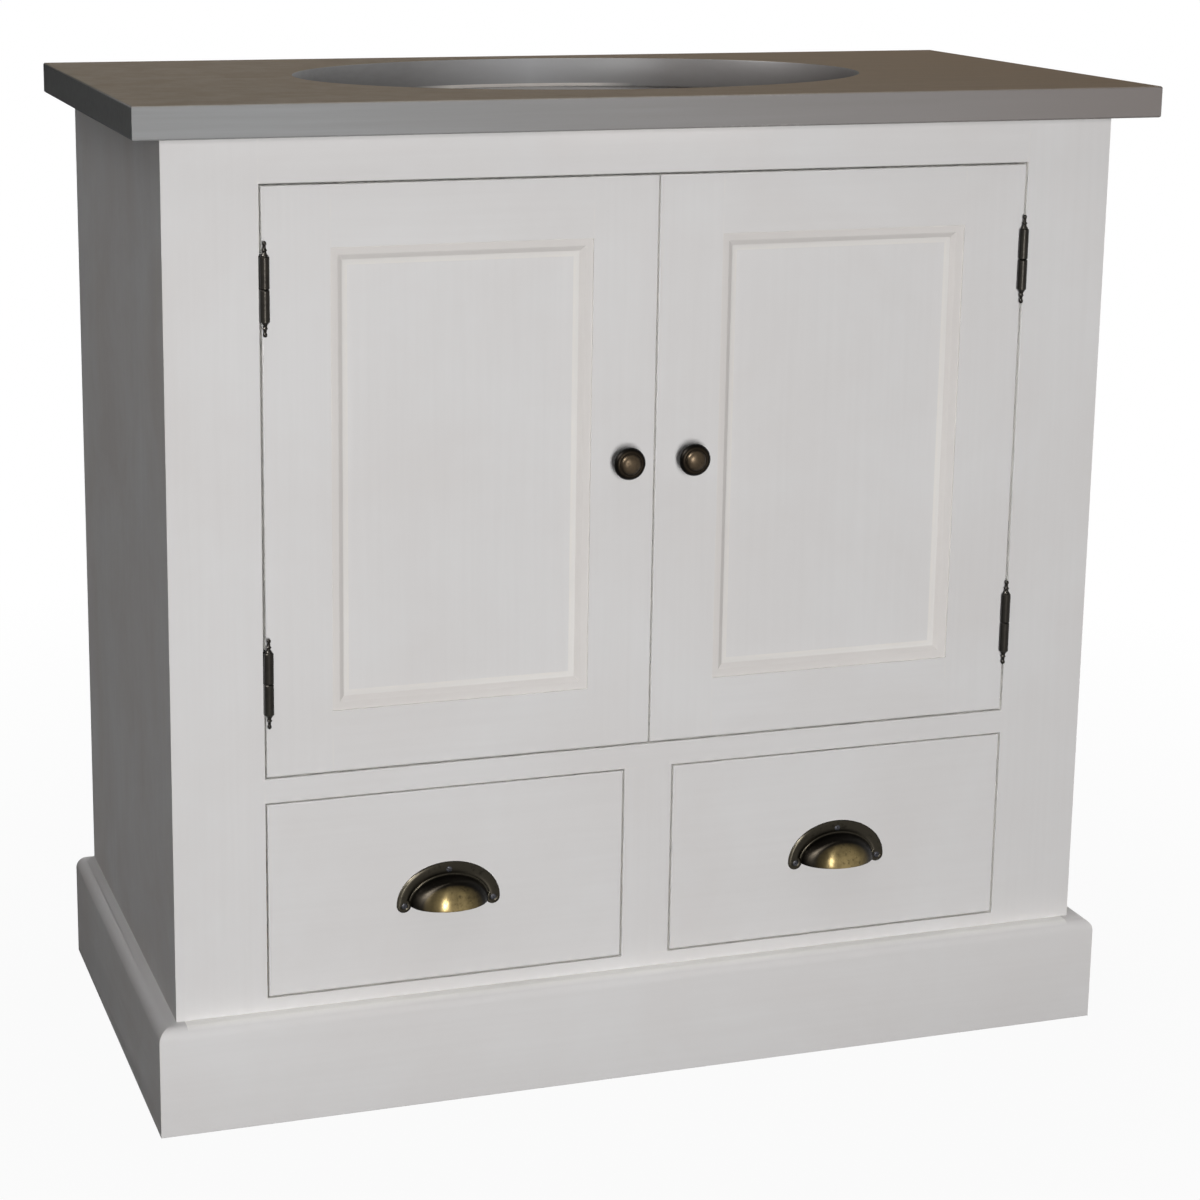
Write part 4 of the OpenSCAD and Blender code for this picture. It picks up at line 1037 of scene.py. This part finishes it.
def lip_row(bm, centre, turn_angle, angles):
    """A row of the rounded lip between the outer and the inner wall."""
    half = WALL / 2
    a, b = CUP[0] - half, CUP[1] - half
    reach = half * math.cos(turn_angle)
    drop = half * math.sin(turn_angle)
    row = []
    for u in angles:
        outwards = Vector((math.cos(u) / a, -math.sin(u) / b, 0)).normalized() * reach
        spot = Vector((a * math.cos(u), -b * math.sin(u), -drop)) + outwards
        row.append(bm.verts.new(centre + spot * mm))
    return row

# %% Cup pulls
def cup_pull(drawer):
    """The cup, its flange and two round feet, in one piece."""
    low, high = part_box(drawer + "_pull")
    centre = Vector(((low.x + high.x) / 2, high.y, high.z - PULL_B * mm))
    angles = [math.pi * i / AROUND for i in range(AROUND + 1)]
    tilts = [math.radians(90 - 90 * i / CUP_ROWS) for i in range(CUP_ROWS)]
    turns = [math.radians(180 * i / LIP_ROWS) for i in range(LIP_ROWS + 1)]
    inner = tuple(x - WALL for x in CUP)
    bm = bmesh.new()
    rows = [egg_row(bm, centre, CUP, tilt, angles) for tilt in tilts]
    rows += [lip_row(bm, centre, turned, angles) for turned in turns]
    rows += [egg_row(bm, centre, inner, tilt, angles) for tilt in reversed(tilts)]
    bridge(bm, rows, True)
    bmesh.ops.remove_doubles(bm, verts=bm.verts, dist=1e-6)
    bmesh.ops.recalc_face_normals(bm, faces=bm.faces)
    rows = []
    for inward, h in FLANGE:
        a, c = PULL_A - inward, PULL_B - inward
        spots = [Vector((a * math.cos(u), -h, c * math.sin(u))) for u in angles]
        rows.append([bm.verts.new(centre + spot * mm) for spot in spots])
    bridge(bm, rows, True)
    for end in (0, -1):
        bm.faces.new([row[end] for row in rows])
    for side in (-1, 1):
        turn(bm, scaled(FOOT), centre + Vector((side * FOOT_ASIDE * mm, 0, 0)), (0, -1, 0), 40)
    bmesh.ops.recalc_face_normals(bm, faces=bm.faces)
    name = drawer + "_pull"
    return finish_piece(bm, name + "_cast", drawer, [pull_brass], [name], 40)


for drawer in DRAWERS:
    made = cup_pull(drawer)
    print(made.name, len(made.data.polygons), "faces", [round(x * 1000, 1) for x in made.dimensions])

# %% [markdown]
# All the screws are one design in several sizes, so a Geometry Nodes tree makes them: a head
# with a slot, a core, a point and a thread. It stands one screw on each point of a small mesh,
# along the way that the point carries, and turns each slot by a fixed seed, as a hand would.

# %% Screw tree
SCREW_SIZES = ("Head radius", "Head height", "Neck radius", "Core radius", "Length", "Point length", "Crown")


def screw_tree():
    """The tree, its inputs' identifiers by name, and the inputs as the tree's nodes see them."""
    tree = bpy.data.node_groups.new("Slotted screws", "GeometryNodeTree")
    tree.is_modifier = True
    kinds = {"Geometry": "NodeSocketGeometry", **dict.fromkeys(SCREW_SIZES, NUMBER)}
    kinds.update({"Seed": "NodeSocketInt", "Finish": "NodeSocketMaterial"})
    keys = {}
    for name, kind in kinds.items():
        keys[name] = tree.interface.new_socket(name=name, in_out="INPUT", socket_type=kind).identifier
    tree.interface.new_socket(name="Geometry", in_out="OUTPUT", socket_type="NodeSocketGeometry")
    return tree, keys, add(tree, "NodeGroupInput").outputs


screws, screw_keys, sizes = screw_tree()


def shape_of(kind, inputs, **options):
    """A node of the screw tree, by its first output."""
    return add(screws, kind, inputs, **options).outputs[0]


def at_height(shape, z):
    """A shape moved up the screw's axis."""
    up = shape_of("ShaderNodeCombineXYZ", {"Z": z})
    return shape_of("GeometryNodeTransform", {"Geometry": shape, "Translation": up})


print("Inputs:", list(screw_keys))

# %% Screw head and slot
head_r = sizes["Head radius"]
head = shape_of("GeometryNodeMeshCone", {
    "Vertices": 28, "Radius Bottom": head_r, "Radius Top": sizes["Neck radius"],
    "Depth": sizes["Head height"],
})
ball = shape_of("GeometryNodeMeshUVSphere", {"Segments": 28, "Rings": 12, "Radius": head_r})
flatness = math_of(screws, "DIVIDE", sizes["Crown"], head_r)
squash = shape_of("ShaderNodeCombineXYZ", {"X": 0.985, "Y": 0.985, "Z": flatness})
crown = shape_of("GeometryNodeTransform", {"Geometry": ball, "Scale": squash})
slot_shares = {"X": 0.24, "Y": 2.4, "Z": 0.44}
slot_sides = {axis: times(screws, head_r, share) for axis, share in slot_shares.items()}
slot_size = shape_of("ShaderNodeCombineXYZ", slot_sides)
slot_block = shape_of("GeometryNodeMeshCube", {"Size": slot_size})
slot_cutter = at_height(slot_block, times(screws, sizes["Crown"], -1.0))
solid_head = add(screws, "GeometryNodeMeshBoolean", operation="UNION", solver="EXACT")
screws.links.new(head, solid_head.inputs["Mesh 2"])
screws.links.new(crown, solid_head.inputs["Mesh 2"])
slotted = shape_of("GeometryNodeMeshBoolean", {
    "Mesh 1": solid_head.outputs["Mesh"], "Mesh 2": slot_cutter,
}, operation="DIFFERENCE", solver="EXACT")
print("Head and slot:", len(screws.nodes), "nodes")

# %% [markdown]
# The thread is a spiral curve with a three-sided bar swept along it, which costs few faces.
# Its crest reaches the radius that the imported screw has, and the core is a fifth thinner.

# %% Screw shank and thread
core_r = times(screws, sizes["Core radius"], 0.8)
behind_head = math_of(screws, "SUBTRACT", sizes["Length"], sizes["Head height"])
shank_l = math_of(screws, "SUBTRACT", behind_head, sizes["Point length"])
shank = shape_of("GeometryNodeMeshCylinder", {"Vertices": 16, "Radius": core_r, "Depth": shank_l})
shank_up = at_height(shank, math_of(screws, "MULTIPLY_ADD", shank_l, 0.5, sizes["Head height"]))
tip = shape_of("GeometryNodeMeshCone", {
    "Vertices": 16, "Radius Bottom": core_r, "Radius Top": times(screws, core_r, 0.12),
    "Depth": sizes["Point length"],
})
tip_up = at_height(tip, math_of(screws, "SUBTRACT", sizes["Length"], sizes["Point length"]))
thread_l = times(screws, shank_l, 0.72)
thread_r = times(screws, sizes["Core radius"], 0.84)
spiral = shape_of("GeometryNodeCurveSpiral", {
    "Resolution": 14, "Rotations": math_of(screws, "DIVIDE", thread_l, core_r),
    "Start Radius": thread_r, "End Radius": thread_r, "Height": thread_l,
})
bar_r = times(screws, sizes["Core radius"], 0.16)
bar = shape_of("GeometryNodeCurvePrimitiveCircle", {"Resolution": 3, "Radius": bar_r})
swept = shape_of("GeometryNodeCurveToMesh", {"Curve": spiral, "Profile Curve": bar})
thread_up = at_height(swept, math_of(screws, "MULTIPLY_ADD", shank_l, 0.27, sizes["Head height"]))
whole = add(screws, "GeometryNodeJoinGeometry")
for shape in (slotted, shank_up, tip_up, thread_up):
    screws.links.new(shape, whole.inputs[0])
print("Screw so far:", len(screws.nodes), "nodes")

# %% [markdown]
# One screw stands on each point. Its axis is aimed along the way that the point carries, and
# its slot is turned by chance. Realize Instances comes last but one, because an instance is only
# a note that says where a shape goes, and the export drops it.

# %% Screws on their points
way = shape_of("GeometryNodeInputNamedAttribute", {"Name": "way"}, data_type="FLOAT_VECTOR")
aim = shape_of("FunctionNodeAlignRotationToVector", {"Vector": way}, axis="Z")
inputs = {2: 0.0, 3: math.pi, "Seed": sizes["Seed"]}
chance = add(screws, "FunctionNodeRandomValue", inputs, data_type="FLOAT").outputs[1]
twist = shape_of("FunctionNodeAxisAngleToRotation", {"Axis": (0, 0, 1), "Angle": chance})
inputs = {"Rotation": aim, "Rotate By": twist}
turned = shape_of("FunctionNodeRotateRotation", inputs, rotation_space="LOCAL")
inputs = {"Points": sizes["Geometry"], "Instance": whole.outputs[0], "Rotation": turned}
stood = shape_of("GeometryNodeInstanceOnPoints", inputs)
real = shape_of("GeometryNodeRealizeInstances", {"Geometry": stood})
finished = shape_of("GeometryNodeSetMaterial", {"Geometry": real, "Material": sizes["Finish"]})
add(screws, "NodeGroupOutput", {"Geometry": finished})
print("Whole screw tree:", len(screws.nodes), "nodes")

# %% [markdown]
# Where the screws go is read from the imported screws: each is a solid of its own, long along one
# axis, with its widest ring at the head. Its rings give the head, the neck, the core and the
# length, so the finished screws fit the same holes whatever size they have.

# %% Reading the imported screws
LEAST_RING = 0.3 * mm


def read_screw(solid):
    """Where a screw's head is, which way it points, and its rings as (distance, radius)."""
    low = Vector([min(v[i] for v in solid) for i in range(3)])
    high = Vector([max(v[i] for v in solid) for i in range(3)])
    size = high - low
    k = max(range(3), key=lambda i: size[i])
    middle = (low + high) / 2

    def radius(v):
        off = v - middle
        off[k] = 0
        return off.length

    rim = max(solid, key=radius)
    forward = rim[k] < middle[k]
    head = middle.copy()
    head[k] = low[k] if forward else high[k]
    way = Vector([0, 0, 0])
    way[k] = 1 if forward else -1
    on_rings = [v for v in solid if radius(v) > LEAST_RING]
    rings = sorted({(round(abs(v[k] - head[k]), 5), -round(radius(v), 5)) for v in on_rings})
    return head, way, size[k], [(d, -r) for d, r in rings]

# %% Making the screws of a node
def screw_meshes(node_name, finish, crown, seed):
    """The finished screws of a node, one mesh for each size."""
    sizes_found = {}
    for solid in islands(node_name):
        head, way, length, rings = read_screw(solid)
        neck = next(ring for ring in rings if ring[0] > 0.5 * mm)
        blunt = abs(neck[1] - rings[0][1]) < 0.1 * mm
        core = rings[-1][1] if blunt else neck[1]
        key = (rings[0][1], *neck, core, round(length, 5), blunt)
        sizes_found.setdefault(key, []).append((head, way))
    meshes = []
    for (head_r, head_h, neck_r, core, length, blunt), places in sizes_found.items():
        mesh = bpy.data.meshes.new("screw places")
        mesh.from_pydata([p for p, _ in places], [], [])
        attribute = mesh.attributes.new("way", "FLOAT_VECTOR", "POINT")
        attribute.data.foreach_set("vector", [x for _, w in places for x in w])
        holder = new_object("screw places", mesh)
        modifier = holder.modifiers.new("screws", "NODES")
        modifier.node_group = screws
        values = {
            "Head radius": head_r, "Head height": head_h, "Neck radius": neck_r, "Core radius": core,
            "Length": length, "Point length": core * (0.4 if blunt else 2), "Crown": crown,
            "Seed": seed, "Finish": finish,
        }
        for name, value in values.items():
            modifier[screw_keys[name]] = value
        evaluated = holder.evaluated_get(bpy.context.evaluated_depsgraph_get())
        meshes.append(bpy.data.meshes.new_from_object(evaluated))
        bpy.data.objects.remove(holder)
        print(f"{node_name}: {len(places)} of {length / mm:.1f} mm,", end=" ")
        print(f"head {head_r / mm:.1f}, core {core / mm:.1f}")
    return meshes


def place_screws(node_name, finish, crown, seed):
    """Makes one piece with all the screws of a node."""
    bm = bmesh.new()
    for mesh in screw_meshes(node_name, finish, crown, seed):
        bm.from_mesh(mesh)
    name = node_name + "_slotted"
    finish_piece(bm, name, body_of_node[node_name], [finish], [node_name], 35)

# %% Screws in place
place_screws("worktop_screws", zinc_steel, 0.2 * mm, 3)
place_screws("cabinet_screws", zinc_steel, 0.15 * mm, 5)
for seed, door in enumerate(DOORS):
    place_screws(door + "_screws", zinc_steel, 0.15 * mm, 11 + seed)
for seed, drawer in enumerate(DRAWERS):
    place_screws(drawer + "_pull_screws", screw_brass_painted_glint, 0.8 * mm, 21 + seed)

# %% [markdown]
# The catch and its strike plates only show with the doors open. The plates are merged copies in
# zinc steel, and the catch is a brown plastic case with softened edges.

# %% Catch and strikes
for door in DOORS:
    smooth_copy(door + "_strike", zinc_steel)
soften("door_catch", brown_plastic, 0.6 * mm)
print("Catch and strikes finished")

# %% [markdown]
# Last comes the size: the dressed unit's box is measured, to set beside the imported model's.
# Both boxes are gathered in one table, and the dressed one is printed.

# %% Sizes and finish
dressed_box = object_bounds()
boxes = {"cad": [list(c) for c in cad_box], "visual": [list(c) for c in dressed_box]}
print("Dressed box:", [round(x, 4) for corner in dressed_box for x in corner])
